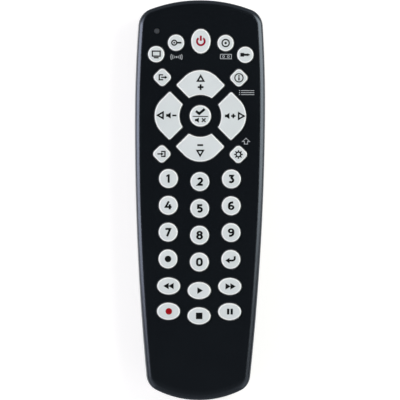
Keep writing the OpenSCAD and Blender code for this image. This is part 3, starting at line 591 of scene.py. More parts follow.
def cell_finish(name, start, stop):
    """A battery with tones along its length, from its flat end to its cap."""
    m = finish(name, (46, 48, 54), (58, 60, 66), 0.25, grain=1400, bump=0.03)
    tree = m.node_tree
    place = new_node(tree, "TexCoord")
    split = new_node(tree, "SeparateXYZ")
    along = new_node(tree, "MapRange", {"From Min": start * MM, "From Max": stop * MM})
    sleeve = new_node(tree, "ValToRGB")
    sleeve.color_ramp.interpolation = "CONSTANT"
    while len(sleeve.color_ramp.elements) < len(CELL_TONES):
        sleeve.color_ramp.elements.new(0.5)
    for element, (position, colour) in zip(sleeve.color_ramp.elements, CELL_TONES):
        element.position = position
        element.color = linear(*colour)
    wire(tree, (place, "Object", split, "Vector"), (split, "Y", along, "Value"),
         (along, "Result", sleeve, "Fac"), (sleeve, "Color", tree.nodes["Principled BSDF"], "Base Color"))
    return m


def place_piece(obj, node, body="handset"):
    """Rides on a body and stands for a node, whose CAD mesh it hides."""
    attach(obj, body)
    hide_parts(node)


# Keys.
class Key:
    """A key with an outline that can be inset and a middle for its crown."""

    def __init__(self, name, arcs, origin, middle, crown, rim=SMALL_KEY_HIGHLIGHT_SHARE):
        self.name = name
        self.arcs = arcs
        self.origin = origin
        self.middle = middle
        self.crown = crown
        # The share of the top beyond which the painted highlight lies.
        self.rim = rim
        self.edge_z = KEY_TOP - INK - crown
        self.top = self.cap_ring(KEY_EDGE)

    def ring(self, inset):
        return chain(self.arcs, inset) + self.origin

    def cap_ring(self, inset):
        """Outline of the cap, drawn just inside the solid."""
        return self.ring(inset + KEY_TRIM)

    def scaled(self, share):
        """Ring at a share of the way from the middle to the edge of the top."""
        return self.middle + (self.top - self.middle) * share

    def surface(self, x, y):
        """Height of the crowned top over a point."""
        rim = self.top - self.middle
        angles = np.arctan2(rim[:, 1], rim[:, 0])
        reach = np.hypot(rim[:, 0], rim[:, 1])
        dx, dy = x - self.middle[0], y - self.middle[1]
        far = np.interp(math.atan2(dy, dx), angles, reach, period=2 * math.pi)
        share = min(math.hypot(dx, dy) / far, 1.0)
        return self.edge_z + self.crown * (1 - share * share)


def half_size(node):
    """Half of a key in plan, without its flange."""
    low, high = node_box(node)
    return (high[:2] - low[:2]) / 2 - FLANGE_W


def plain_key(name, arcs, crown):
    at = middle_of(name)
    return Key(name, arcs, at, at, crown)


def pad_key(name, turn):
    middle = PAD_AT + PAD_MIDDLE * direction(turn + 90)
    return Key(name, pad_arcs(turn), PAD_AT, middle, FLAT_CROWN, PAD_KEY_HIGHLIGHT_SHARE)


DIGITS = ["digit_%d_key" % i for i in range(10)]
ROUND = ["tv_key", "cable_key", "disc_key", "aux_key", "ok_key", "dot_key", "enter_key"] + DIGITS
OVAL = ["power_key", "rewind_key", "play_key", "fast_forward_key", "record_key", "stop_key", "pause_key"]
DIAMOND = ["exit_key", "info_key", "input_key", "setup_key"]
PADS = {"up_key": 0, "left_key": 90, "down_key": 180, "right_key": 270}
KEYS = {n: plain_key(n, circle_arcs(half_size(n)[0]), ROUND_CROWN) for n in ROUND}
KEYS.update({n: plain_key(n, oval_arcs(*half_size(n)), FLAT_CROWN) for n in OVAL})
KEYS.update({n: plain_key(n, diamond_arcs(), FLAT_CROWN) for n in DIAMOND})
KEYS.update({n: pad_key(n, turn) for n, turn in PADS.items()})


# Marks are built flat about a point and laid on a surface. Each is a list of (outline, hole) loops.
MITRE_LEAST = 0.3
HOOP_STEPS = 40
DISC_STEPS = 36
TOOTH_FROM = 0.45
TOOTH_TO = 1.5


def stroke(points, width, closed=False):
    """A line of even width along points, with mitred corners."""
    p = np.array(points, float)
    n = len(p)
    left, right = [], []
    for i in range(n):
        before = p[i] - p[i - 1] if closed or i > 0 else p[1] - p[0]
        after = p[(i + 1) % n] - p[i] if closed or i < n - 1 else p[-1] - p[-2]
        a, b = before / np.linalg.norm(before), after / np.linalg.norm(after)
        normal = np.array([-a[1] - b[1], a[0] + b[0]])
        normal /= np.linalg.norm(normal)
        reach = width / 2 / max(np.dot(normal, [-a[1], a[0]]), MITRE_LEAST)
        left.append(p[i] + normal * reach)
        right.append(p[i] - normal * reach)
    if closed:
        return [(np.array(left), np.array(right))]
    return [(np.array(left + right[::-1]), None)]


def curve(centre, radius, first, last, steps):
    """Points along an arc, both ends included."""
    angles = [first + (last - first) * i / steps for i in range(steps + 1)]
    return [np.array(centre) + radius * direction(a) for a in angles]


def loop(centre, radius, steps):
    return curve(centre, radius, 0, 360, steps)[:-1]


def hoop(centre, radius, width):
    return stroke(loop(centre, radius, HOOP_STEPS), width, closed=True)


def patch(*points):
    return [(np.array(points, float), None)]


def disc(centre, radius):
    return patch(*loop(centre, radius, DISC_STEPS))


def bar(x, y, width, height):
    w, h = width / 2, height / 2
    return patch((x - w, y - h), (x + w, y - h), (x + w, y + h), (x - w, y + h))


def moved(mark, dx, dy):
    return [(o + [dx, dy], None if h is None else h + [dx, dy]) for o, h in mark]


def scaled(mark, sx, sy):
    """A mark stretched about its origin, or mirrored by a negative share."""
    return [(o * [sx, sy], None if h is None else h * [sx, sy]) for o, h in mark]


def speaker(x, y, size):
    body = [(-0.85, 0.42), (-0.25, 0.42), (0.6, 1.0), (0.6, -1.0), (-0.25, -0.42), (-0.85, -0.42)]
    return patch(*[(x + size * a, y + size * b) for a, b in body])


def flat_mark(mark):
    """The loops of a mark as flat faces."""
    work = bmesh.new()
    for outer, hole in mark:
        rows = [[work.verts.new((x, y, 0)) for x, y in path] for path in (outer, hole) if path is not None]
        if hole is None:
            work.faces.new(rows[0])
        else:
            n = len(rows[0])
            for i in range(n):
                j = (i + 1) % n
                work.faces.new((rows[0][i], rows[0][j], rows[1][j], rows[1][i]))
    return work


def lay(shape, work, at, height, look):
    """Adds flat faces to a shape as a thin closed layer that follows a surface."""
    work.normal_update()
    bmesh.ops.triangulate(work, faces=work.faces[:])
    for _ in range(MARK_CUTS):
        long_edges = [e for e in work.edges if e.calc_length() > MARK_STEP]
        bmesh.ops.subdivide_edges(work, edges=long_edges, cuts=1)
        bmesh.ops.triangulate(work, faces=work.faces[:])
    work.verts.index_update()
    low, high = [], []
    for v in work.verts:
        x, y = v.co.x + at[0], v.co.y + at[1]
        z = height(x, y)
        low.append(shape.point(x, y, z - INK_DEPTH))
        high.append(shape.point(x, y, z + INK))
    for f in work.faces:
        corners = [v.index for v in f.verts]
        shape.face([high[i] for i in corners], look)
        shape.face([low[i] for i in reversed(corners)], look)
    for e in work.edges:
        if e.is_boundary:
            a, b = e.verts[0].index, e.verts[1].index
            shape.face((low[a], low[b], high[b], high[a]), look)
    work.free()


TRIANGLE_HALF = 1.4
TRIANGLE_H = 2.4
TRIANGLE_W = 0.7


def triangle(at, turn):
    """Outlined triangle whose tip points to the turn, measured from +Y."""
    c, s = direction(turn)
    tips = [(0, TRIANGLE_H / 2), (-TRIANGLE_HALF, -TRIANGLE_H / 2), (TRIANGLE_HALF, -TRIANGLE_H / 2)]
    return stroke([(at[0] + c * x - s * y, at[1] + s * x + c * y) for x, y in tips], TRIANGLE_W, closed=True)


def plus(x, y, size, width):
    arm, w = size / 2, width / 2
    return patch((x - arm, y - w), (x - w, y - w), (x - w, y - arm), (x + w, y - arm), (x + w, y - w),
                 (x + arm, y - w), (x + arm, y + w), (x + w, y + w), (x + w, y + arm), (x - w, y + arm),
                 (x - w, y + w), (x - arm, y + w))


def gear(radius, width, teeth):
    mark = hoop((0, 0), radius, width)
    for i in range(teeth):
        d = direction(360 * i / teeth)
        mark += stroke([d * (radius + width * TOOTH_FROM), d * (radius + width * TOOTH_TO)], width)
    return mark


PEN = 0.58
SIGN_L = 2.6
SIGN_W = 0.82
SMALL_SIGN_W = 0.72
POWER_PEN = 0.88
HOOK_PEN = 0.86
POWER_RING = curve((0, -0.25), 1.72, 126, 414, 40)
LEFT_TRIANGLES = (patch((-2.42, 0), (0.0, -1.42), (0.0, 1.42))
                  + patch((-0.15, 0), (2.2, -1.42), (2.2, 1.42)))
BRACKET = stroke([(0.35, 1.1), (-1.4, 1.1), (-1.4, -1.1), (0.35, -1.1)], PEN)
ARROW = stroke([(-0.55, 0), (1.1, 0)], PEN) + patch((1.1, 0.8), (1.1, -0.8), (2.2, 0))
HOOK = [(1.95, 1.4), (1.95, 0.5)] + curve((0.93, 0.5), 1.02, 0, -90, 8)[1:] + [(-0.7, -0.52)]
MARKS = {
    "power_key": moved(stroke(POWER_RING, POWER_PEN) + stroke([(0, 0.0), (0, 2.3)], 0.86), -0.04, 0.18),
    "tv_key": stroke([(-1.75, 1.35), (1.75, 1.35), (1.75, -0.9), (-1.75, -0.9)], PEN, closed=True)
    + bar(0, -1.6, 2.2, PEN),
    "cable_key": hoop((-0.85, 0), 1.1, PEN) + disc((-0.85, 0), 0.42) + bar(1.4, 0, 2.0, 0.76),
    "disc_key": hoop((0, 0), 1.6, PEN) + disc((0, 0), 0.55),
    "aux_key": bar(-1.4, 0, 1.7, 1.7) + bar(0.2, 0, 1.7, 0.95) + patch((0.95, 0.7), (0.95, -0.7), (2.2, 0)),
    "exit_key": BRACKET + ARROW,
    "info_key": hoop((0, 0), 1.85, 0.5) + disc((0, 0.85), 0.38) + bar(0, -0.45, 0.66, 1.4),
    "input_key": scaled(BRACKET, -1, 1) + moved(ARROW, -1.45, 0),
    "setup_key": gear(1.05, 0.6, 8),
    "up_key": triangle((0, 16.85), 0) + plus(0, 12.9, SIGN_L, SIGN_W),
    "down_key": triangle((0, -16.75), 180) + bar(0, -13.15, SIGN_L, SIGN_W),
    "left_key": triangle((-18.0, 0.15), 90) + speaker(-14.2, 0.1, 1.4) + bar(-11.7, 0.1, 1.9, SMALL_SIGN_W),
    "right_key": triangle((18.4, 0.05), 270) + speaker(12.2, 0.05, 1.4) + plus(14.8, 0.05, 2.0, SMALL_SIGN_W),
    "ok_key": stroke([(-2.0, 2.15), (-0.55, 0.95), (1.9, 3.1)], 1.1) + bar(0, -0.25, 6.9, 0.4)
    + speaker(-1.4, -1.9, 1.2) + stroke([(0.7, -2.7), (2.3, -1.1)], PEN)
    + stroke([(0.7, -1.1), (1.25, -1.65)], PEN) + stroke([(1.75, -2.15), (2.3, -2.7)], PEN),
    "dot_key": disc((0, 0), 1.46),
    "enter_key": moved(stroke(HOOK, HOOK_PEN) + patch((-0.4, 0.72), (-2.3, -0.52), (-0.4, -1.76)), -0.22, 0),
    "rewind_key": LEFT_TRIANGLES,
    "fast_forward_key": moved(scaled(LEFT_TRIANGLES, -1, 1), 0.25, 0),
    "play_key": patch((-0.85, 1.46), (-0.85, -1.46), (1.66, 0)),
    "record_key": disc((0.12, 0), 1.47),
    "stop_key": bar(0.05, 0, 2.9, 2.9),
    "pause_key": bar(-0.68, 0.05, 1.04, 2.6) + bar(0.92, 0.05, 1.04, 2.6)}
MARK_INK = {"power_key": INK_CRIMSON, "record_key": INK_RED}

# Numerals from 0 to 9, with a broader pen where loops lie close.
NUMERAL_PEN = 0.79
LOOP_PEN = 0.84
LOOP_FLAT = 0.86
NUMERAL_SIZE = (1.22, 1.14)
NUMERAL_SHIFT = (-0.02, 0.0)


def swell(value, power):
    """A sine or cosine pushed outward, for a loop with full corners."""
    return math.copysign(abs(value) ** power, value)


def flat_hoop(y, radius, width):
    """A hoop lower than it is wide, at a height."""
    return moved(scaled(hoop((0, 0), radius, width), 1, LOOP_FLAT), 0, y)


ZERO = [(0.86 * swell(math.cos(t), 0.7), 1.28 * swell(math.sin(t), 0.78))
        for t in np.linspace(0, 2 * math.pi, HOOP_STEPS, endpoint=False)]
SIX_STEM = [(-0.78, -0.6), (-0.78, 0.2)] + curve((0.29, 0.2), 1.07, 180, 90, 10)[1:] + [(0.72, 1.27)]
SIX = flat_hoop(-0.66, 0.78, NUMERAL_PEN) + stroke(SIX_STEM, LOOP_PEN)
NUMERALS = [
    stroke(ZERO, NUMERAL_PEN, closed=True),
    patch((0.44, 1.66), (-0.2, 1.66), (-0.95, 1.05), (-0.62, 0.6), (-0.3, 0.82), (-0.3, -1.66),
          (0.44, -1.66)),
    stroke(curve((0, 0.52), 0.76, 158, -38, 20) + [(-0.62, -1.27), (1.05, -1.27)], NUMERAL_PEN),
    stroke([(-0.9, 1.27), (0.5, 1.27), (-0.2, 0.15)], NUMERAL_PEN)
    + stroke(curve((-0.1, -0.52), 0.76, 100, -145, 20), NUMERAL_PEN),
    stroke([(0.18, 1.6), (-0.95, -0.62), (1.2, -0.62)], 0.72) + bar(0.52, -0.6, 0.76, 2.0),
    stroke([(0.9, 1.27), (-0.55, 1.27), (-0.62, 0.2)] + curve((-0.05, -0.5), 0.78, 80, -140, 18),
           NUMERAL_PEN),
    SIX,
    stroke([(-1.0, 1.27), (0.72, 1.27), (-0.4, -1.66)], NUMERAL_PEN),
    flat_hoop(0.75, 0.72, LOOP_PEN) + flat_hoop(-0.65, 0.84, LOOP_PEN),
    scaled(SIX, -1, -1)]
for digit, numeral in zip(DIGITS, NUMERALS):
    MARKS[digit] = moved(scaled(numeral, *NUMERAL_SIZE), *NUMERAL_SHIFT)

# Materials of a key by number: top, rim with a painted highlight, print and the rubber under the cap.
TOP_LOOK, PAINTED_HIGHLIGHT_LOOK, INK_LOOK, FOOT_LOOK = range(4)


def key_piece(key):
    """Cap with rounded rim and crowned top, flange, plunger and mark."""
    shape = Shape()
    flange = key.ring(-FLANGE_W)
    sole = shape.ring(flange, FLANGE_Z0)
    shoulder = shape.ring(flange, FLANGE_Z1)
    row = shape.ring(key.cap_ring(0), FLANGE_Z1)
    shape.band(sole, shoulder, FOOT_LOOK)
    shape.band(shoulder, row, FOOT_LOOK)
    # The rounded edge, and the crown beyond the key's share, take the painted highlight; the straight side
    # keeps the key's own tone.
    for k, (inward, down) in enumerate(quarter(EDGE_STEPS)):
        above = shape.ring(key.cap_ring(KEY_EDGE * inward), key.edge_z - KEY_EDGE * down)
        shape.band(row, above, PAINTED_HIGHLIGHT_LOOK if k > 0 else TOP_LOOK)
        row = above
    for share in CROWN_RINGS:
        above = shape.ring(key.scaled(share), key.edge_z + key.crown * (1 - share * share))
        shape.band(row, above, PAINTED_HIGHLIGHT_LOOK if share > key.rim else TOP_LOOK)
        row = above
    shape.fan(row, shape.point(*key.middle, key.edge_z + key.crown), TOP_LOOK)
    shape.fan(sole, shape.point(*key.middle, FLANGE_Z0), FOOT_LOOK)
    foot = key.middle if key.name in PADS else middle_of(key.name)
    plunger = chain(circle_arcs(PLUNGER_R, PLUNGER_STEPS)) + foot
    shape.prism(plunger, node_box(key.name)[0][2], FLANGE_Z0 + PLUNGER_LAP, FOOT_LOOK)
    lay(shape, flat_mark(MARKS[key.name]), key.origin, key.surface, INK_LOOK)
    materials = [KEY, KEY_RIM_PAINTED_HIGHLIGHT, MARK_INK.get(key.name, INK_DARK), RUBBER]
    obj = shape.build(key.name.replace("_key", "_cap"), materials)
    place_piece(obj, key.name, key.name)


for one in KEYS.values():
    key_piece(one)


# Upper shell: drafted wall, rolled edge, flat face with an aperture for each key, and the window's opening.
def end_share(way):
    """1 along one end of the body, 0 along the sides, eased through the corners."""
    t = np.clip((way * OUTWARD[:, 1] - ROLL_FROM) / (ROLL_TO - ROLL_FROM), 0, 1)
    return t * t * (3 - 2 * t)


NOSE_SHARE = end_share(1)
TAIL_SHARE = end_share(-1)
EDGE_DEPTH = SIDE_ROLL + NOSE_SHARE * (NOSE_ROLL - SIDE_ROLL) + TAIL_SHARE * (TAIL_ROLL - SIDE_ROLL)
EDGE_DROP = SIDE_H + (NOSE_SHARE + TAIL_SHARE) * (END_H - SIDE_H)


def edge_plan(share):
    """The body in plan, drawn in by a share of the edge's depth."""
    return RIM - OUTWARD * (DRAFT + EDGE_DEPTH * share)[:, None]


def wall_inset(z):
    """How far the draft has drawn the wall in at a height."""
    return DRAFT * (z - JOINT_Z) / (FACE_Z - SIDE_H - JOINT_Z)


def lens_ring(inset):
    return chain(circle_arcs(LENS_R, LENS_STEPS), inset) + LENS_AT


def upper_shell():
    """Outer and inner skin, joined round the foot, the window's opening and every aperture."""
    shape = Shape()
    foot = shape.ring(outline(SEAM), JOINT_Z)
    edge = shape.ring(RIM, JOINT_Z + SEAM)
    sill = shape.ring(outline(wall_inset(WINDOW_TOP)), WINDOW_TOP)
    shape.band(foot, edge, skip=WINDOW_I)
    shape.band(edge, sill, skip=WINDOW_I)
    roll = [shape.ring(edge_plan(inward), FACE_Z - EDGE_DROP * down)
            for inward, down in quarter(ROLL_STEPS)]
    face_edge = shape.ring(edge_plan(1) - OUTWARD * BAND, FACE_Z)
    shape.bands([sill, *roll, face_edge])
    inner_foot = shape.ring(outline(WALL), JOINT_Z)
    inner_sill = shape.ring(outline(WALL + wall_inset(WINDOW_TOP)), WINDOW_TOP)
    inner_top = shape.ring(outline(WALL + DRAFT), UNDER_Z)
    shape.band(foot, inner_foot, skip=WINDOW_I)
    shape.band(inner_foot, inner_sill, skip=WINDOW_I)
    shape.band(inner_sill, inner_top)
    first, last = WINDOW_I[0], WINDOW_I[-1] + 1
    for i in (first, last):
        shape.face((foot[i], edge[i], sill[i], inner_sill[i], inner_foot[i]))
    shape.strip(sill[first:last + 1], inner_sill[first:last + 1])
    top_loops, under_loops = [face_edge], [inner_top]
    apertures = [(key.ring, KEY_GAP, LIP_R) for key in KEYS.values()]
    apertures.append((lens_ring, LENS_GAP, LENS_LIP_R))
    for ring, gap, lip in apertures:
        mouth = shape.ring(ring(-gap - lip - BAND), FACE_Z)
        bend = [shape.ring(ring(-gap - lip * outward), FACE_Z - lip * down)
                for down, outward in quarter(LIP_STEPS)]
        under = shape.ring(ring(-gap), UNDER_Z)
        shape.bands([mouth, *bend, under])
        top_loops.append(mouth)
        under_loops.append(under)
    shape.fill(top_loops)
    shape.fill(under_loops)
    obj = shape.build("upper_shell", [CASE], SHELL_ANGLE)
    place_piece(obj, "upper_housing")


upper_shell()


# Lower shell: rounded belly, way for the door, bay for the cells and bosses for the screws.
def belly(y):
    """Height of the belly, which lifts toward the nose."""
    return NOSE_LIFT * (np.maximum(0, y - (NOSE_Y - LIFT_L)) / LIFT_L) ** 2


def belly_solid(name, start, stop, sink, top, seam=0.0):
    """The lower half of the body, inset and sunk, with straight sides from the joint up."""
    rings = []
    for inward, rise in reversed(quarter(BELLY_STEPS)):
        plan = outline(start + (stop - start) * inward)
        base = belly(plan[:, 1]) + sink
        rings.append((plan, base + (JOINT_Z - seam - base) * rise))
    rings.append((outline(start + seam), top))
    shape = Shape()
    shape.loft(rings)
    return shape.build(name, [CASE], SHELL_ANGLE)


def lower_shell():
    """The hollow belly with a seat, a bay and bosses, cut for the door, cells and screws."""
    shell = belly_solid("lower_shell", 0, BELLY_IN, 0, JOINT_Z, SEAM)
    hollow = belly_solid("tool", WALL, HOLLOW_IN, FLOOR_T, JOINT_Z + SEAM)
    cut(shell, hollow)
    seat_half = DOOR_HALF + TONGUE_W + DOOR_GAP + SEAT_T
    seat_top = TONGUE_Z + TONGUE_T + DOOR_GAP + SEAT_T
    seat_y = DOOR_Y + DOOR_GAP + SEAT_T
    fittings = block(-seat_half, seat_half, TAIL_Y + BELLY_IN + WALL, seat_y, 0, seat_top)
    outer = BAY_HALF + BAY_WALL
    bay = block(-outer, outer, BAY_Y0 - BAY_WALL, BAY_Y1 + BAY_WALL, 0, BAY_TOP + BAY_WALL)
    combine(fittings, bay, "UNION")
    for side in (-1, 1):
        combine(fittings, peg(side * SCREW_X, SCREW_Y, BOSS_R, 0, BOSS_Z), "UNION")
    combine(fittings, belly_solid("tool", WALL / 2, BELLY_IN, FLOOR_T / 2, UNDER_Z), "INTERSECT")
    combine(shell, fittings, "UNION")
    half = DOOR_HALF + DOOR_GAP
    way_y = (TAIL_Y - WALL, DOOR_Y + DOOR_GAP)
    cut(shell, block(-half, half, *way_y, -WALL, DOOR_T + DOOR_GAP))
    reach = TONGUE_W + DOOR_GAP
    slot_z = (TONGUE_Z - DOOR_GAP, TONGUE_Z + TONGUE_T + DOOR_GAP)
    for side in (-1, 1):
        middle = side * DOOR_HALF
        cut(shell, block(middle - reach, middle + reach, *way_y, *slot_z))
    cut(shell, block(-BAY_HALF, BAY_HALF, BAY_Y0, BAY_Y1, -WALL, BAY_TOP))
    for side in (-1, 1):
        cut(shell, peg(side * SCREW_X, SCREW_Y, HEAD_R + HEAD_GAP, -WALL, HEAD_SEAT_Z))
        cut(shell, peg(side * SCREW_X, SCREW_Y, SHANK_HOLE_R, -WALL, BOSS_Z + WALL))
    tidy(shell, SHELL_ANGLE)
    place_piece(shell, "lower_housing")


def groove(y):
    """A round-bottomed thumb groove across the door, as a tool."""
    shape = Shape()
    middle_z = GRIP_DEPTH - GRIP_R
    rows = []
    ends = [(-1, a) for a in GRIP_ANGLES] + [(1, a) for a in reversed(GRIP_ANGLES)]
    for way, a in ends:
        c, s = direction(a)
        x = way * (GRIP_L / 2 - GRIP_R + GRIP_R * c)
        circle = loop((0, 0), GRIP_R * s, GRIP_STEPS)
        first = len(shape.points)
        shape.points += [(x, y + p[0], middle_z + p[1]) for p in circle]
        rows.append(list(range(first, first + len(circle))))
    shape.tube(rows)
    return shape.build("tool", [])


def door_panel():
    """The door: a slice of the belly with a tongue along each side, thumb grooves and an arrow."""
    door = belly_solid("door_panel", 0, BELLY_IN, 0, JOINT_Z)
    keep = block(-DOOR_HALF, DOOR_HALF, TAIL_Y - WALL, DOOR_Y, -WALL, DOOR_T)
    for side in (-1, 1):
        middle = side * DOOR_HALF
        tongue = (middle - TONGUE_W, middle + TONGUE_W, TAIL_Y - WALL, DOOR_Y, TONGUE_Z, TONGUE_Z + TONGUE_T)
        combine(keep, block(*tongue), "UNION")
    combine(door, keep, "INTERSECT")
    grip_y = TAIL_Y + GRIP_BACK
    for i in range(GRIP_ROWS):
        cut(door, groove(grip_y + (i - (GRIP_ROWS - 1) / 2) * GRIP_PITCH))
    arrow = Shape()
    tip = TAIL_Y + ARROW_BACK
    plan = np.array([(0, tip), (ARROW_HALF, tip + ARROW_L), (-ARROW_HALF, tip + ARROW_L)])
    arrow.prism(plan, -WALL, ARROW_DEPTH)
    cut(door, arrow.build("tool", []))
    tidy(door, SHELL_ANGLE)
    place_piece(door, "battery_door", "door")


lower_shell()
door_panel()


# Window in the nose, lens in the face and pale signs printed beside four keys.
def nose_window():
    """A bent bar that fills the window's opening, with soft edges."""
    shape = Shape()
    side = math.degrees(LENS_GAP / NOSE_R)
    across = [(NOSE_C, NOSE_R, WINDOW_A + side, 180 - WINDOW_A - side, 2 * WINDOW_STEPS, 0, 0)]
    rows = []
    for z in (JOINT_Z, WINDOW_Z):
        front = shape.ring(chain(across, wall_inset(z)), z)
        back = shape.ring(chain(across, WINDOW_T), z)
        rows.append((front, back))
    (low_out, low_in), (high_out, high_in) = rows
    for one, other in ((low_out, high_out), (low_in, high_in), (low_out, low_in), (high_out, high_in)):
        shape.strip(one, other)
    for i in (0, -1):
        shape.face((low_out[i], high_out[i], high_in[i], low_in[i]))
    obj = shape.build("nose_window", [WINDOW])
    soft = obj.modifiers.new("soft_edges", "BEVEL")
    soft.width = WINDOW_SOFT * MM
    soft.segments = 2
    place_piece(obj, "ir_window")


def indicator_jewel():
    shape = Shape()
    rest_z = FACE_Z - LENS_DOME
    profile = [(LENS_R, LENS_Z), (LENS_R, rest_z)]
    for angle in DOME_ANGLES:
        c, s = direction(angle)
        profile.append((LENS_R * c, rest_z + 2 * LENS_DOME * s))
    rows = [shape.ring(chain(circle_arcs(r, LENS_STEPS)) + LENS_AT, z) for r, z in profile]
    shape.bands(rows)
    shape.fan(rows[-1], shape.point(*LENS_AT, FACE_Z + LENS_DOME))
    shape.fan(rows[0], shape.point(*LENS_AT, LENS_Z))
    obj = shape.build("indicator_jewel", [LENS])
    place_piece(obj, "indicator_lens")


WAVE_AT = (0, -0.2)
WAVE_REACH = (1.05, 1.8, 2.55)
WAVE_SPAN = 30
WAVE_PEN = 0.32
REEL_PEN = 0.26
FRAME_PEN = 0.28
SIGN_PEN = 0.3
WAVES = disc(WAVE_AT, 0.42)
for reach in WAVE_REACH:
    for way in (0, 180):
        WAVES += stroke(curve(WAVE_AT, reach, way - WAVE_SPAN, way + WAVE_SPAN, 12), WAVE_PEN)
CASSETTE = (stroke([(-2.5, 1.0), (2.5, 1.0), (2.5, -1.0), (-2.5, -1.0)], FRAME_PEN, closed=True)
            + hoop((-1.1, 0), 0.45, REEL_PEN) + hoop((1.1, 0), 0.45, REEL_PEN))
LINES = [m for y in (0.9, 0.0, -0.9) for m in disc((-3.1, y), 0.24) + bar(0.55, y, 5.9, SIGN_PEN)]
SHIFT_ARROW = stroke([(0, 1.35), (1.6, -0.1), (0.7, -0.1), (0.7, -1.25), (-0.7, -1.25), (-0.7, -0.1),
                      (-1.6, -0.1)], SIGN_PEN, closed=True)
SIGNS = [("cable_key", (0.25, -6.2), WAVES), ("disc_key", (0.2, -6.05), CASSETTE),
         ("info_key", (3.45, -6.6), LINES), ("setup_key", (3.4, 5.95), SHIFT_ARROW)]


def face_signs():
    shape = Shape()
    for key, offset, mark in SIGNS:
        lay(shape, flat_mark(mark), middle_of(key) + offset, lambda x, y: FACE_Z, 0)
    obj = shape.build("face_signs", [INK_PALE])
    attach(obj, "handset")


nose_window()
indicator_jewel()
face_signs()


# Contacts.
def upright(shape, plan, y0, y1):
    """A sheet of an outline in X and Z, standing between two stations."""
    back = [shape.point(x, y0, z) for x, z in plan]
    front = [shape.point(x, y1, z) for x, z in plan]
    shape.tube([back, front])


def sheet_plan(x, width, tab_top):
    """A sheet with rounded corners and, where a tab top is given, a solder tab."""
    w, h, r = width / 2, SHEET_H / 2, SHEET_CORNER
    corners = [(x + w - r, CELL_Z - h + r, -90), (x + w - r, CELL_Z + h - r, 0),
               (x - w + r, CELL_Z + h - r, 90), (x - w + r, CELL_Z - h + r, 180)]
    plan = []
    for i, (cx, cz, a) in enumerate(corners):
        if i == 2 and tab_top:
            t = TAB_W / 2
            top = CELL_Z + h
            plan += [(x + t, top), (x + t, tab_top - t / 2), (x + t / 2, tab_top), (x - t / 2, tab_top),
                     (x - t, tab_top - t / 2), (x - t, top)]
        plan += [tuple(p) for p in curve((cx, cz), r, a, a + 90, CORNER_STEPS)]
    return plan


def coil(shape, x, y, way):
    """A conical spring whose wide end stands on a sheet."""
    steps = SPRING_TURNS * WIRE_RINGS
    height = SPRING_L - SPRING_AIR - SPRING_WIRE / 2
    rows = []
    for i in range(steps + 1):
        share = i / steps
        a = 2 * math.pi * i / WIRE_RINGS
        r = SPRING_FOOT_R + (SPRING_TIP_R - SPRING_FOOT_R) * share
        row = []
        for k in range(WIRE_SIDES):
            t = 2 * math.pi * k / WIRE_SIDES
            out = r + SPRING_WIRE / 2 * math.cos(t)
            along = height * share + SPRING_WIRE / 2 * math.sin(t)
            row.append(shape.point(x + out * math.cos(a), y + way * along, CELL_Z + out * math.sin(a)))
        rows.append(row)
    shape.tube(rows)


def contacts():
    """A plain and a sprung contact toward the nose, and the strip that joins the cells."""
    tab_top = node_box("positive_contact")[1][2]
    nose_y = (BAY_Y1 - SHEET_T, BAY_Y1)
    tail_y = (BAY_Y0, BAY_Y0 + SHEET_T)
    rows = [
        ("plain_contact", "positive_contact", (-CELL_X, SHEET_W, tab_top), nose_y, None),
        ("spring_contact", "negative_spring", (CELL_X, SHEET_W, tab_top), nose_y, (CELL_X, nose_y[0], -1)),
        ("bridge_strip", "bridge_contact", (0, SHEET_W + 2 * CELL_X, 0), tail_y, (-CELL_X, tail_y[1], 1))]
    for name, node, sheet, stations, spring in rows:
        shape = Shape()
        upright(shape, sheet_plan(*sheet), *stations)
        if spring:
            coil(shape, *spring)
        place_piece(shape.build(name, [CONTACT]), node)


contacts()

# Pieces that keep their CAD shape.
SLOT_FINISH = {"rubber": RUBBER, "board": BOARD, "lamp": LAMP, "component": COMPONENT, "ceramic": CERAMIC,
               "sleeve": SLEEVE, "screw": SCREW}
NODE_FINISH = {"battery_left": cell_finish("left_cell", CELL_LOW[1], CELL_HIGH[1]),
               "battery_right": cell_finish("right_cell", CELL_HIGH[1], CELL_LOW[1])}
for part in frame["record"]["subparts"]:
    look = NODE_FINISH.get(part["node"]) or SLOT_FINISH.get(part["material_slot"])
    if look:
        skin = frame["nodes"][part["node"]].material_slots
        for i in range(len(skin)):
            skin[i].material = look


# Floor and backdrop, in metres.
WHITE = (1.0, 1.0, 1.0)
FLOOR_SIZE = 8.0
FLOOR_Z = -0.0003
FLOOR_GREY = (0.7, 0.7, 0.7, 1.0)
FLOOR_ROUGHNESS = 0.9
FLOOR_GLOW = 0.6
BACKDROP = (0.95, 0.97, 1.0, 1.0)
BACKDROP_STRENGTH = 0.044

# Light panels: azimuth from +X and zenith from straight up, in degrees, then distance, width, height and
# radiance, and for some a shift along Y and a colour.
LILAC = (1.0, 0.95, 1.0)
CREAM = (1.0, 1.0, 0.92)
PANELS = {
    "left_panel": (180, 57, 0.9, 0.325, 0.82, 4.95, 0.0725, LILAC),
    "left_fade_panel": (180, 57, 0.9, 0.185, 0.82, 1.6, 0.3275, LILAC),
    "left_nose_panel": (139, 58, 1.0, 0.5, 0.6, 0.46),
    "left_tail_panel_low": (213, 60, 1.0, 0.64, 0.55, 0.74),
    "left_tail_panel_high": (213, 36, 1.0, 0.64, 0.4, 0.32),
    "right_panel": (0, 48, 0.9, 0.505, 0.9, 4.05, 0.2175, CREAM),
    "right_nose_panel": (50, 58, 1.0, 0.5, 0.6, 0.34),
    "right_tail_panel_low": (327, 60, 1.0, 0.64, 0.55, 0.74),
    "right_tail_panel_high": (327, 36, 1.0, 0.64, 0.4, 0.32),
    "nose_panel": (90, 56, 1.0, 1.2, 0.75, 0.36),
    "tail_panel_low": (270, 62, 1.0, 1.5, 0.5, 0.38),
    "tail_panel_middle": (270, 38, 1.0, 1.5, 0.4, 0.2),
    "tail_panel_high": (270, 18, 1.0, 1.5, 0.4, 0.09)}

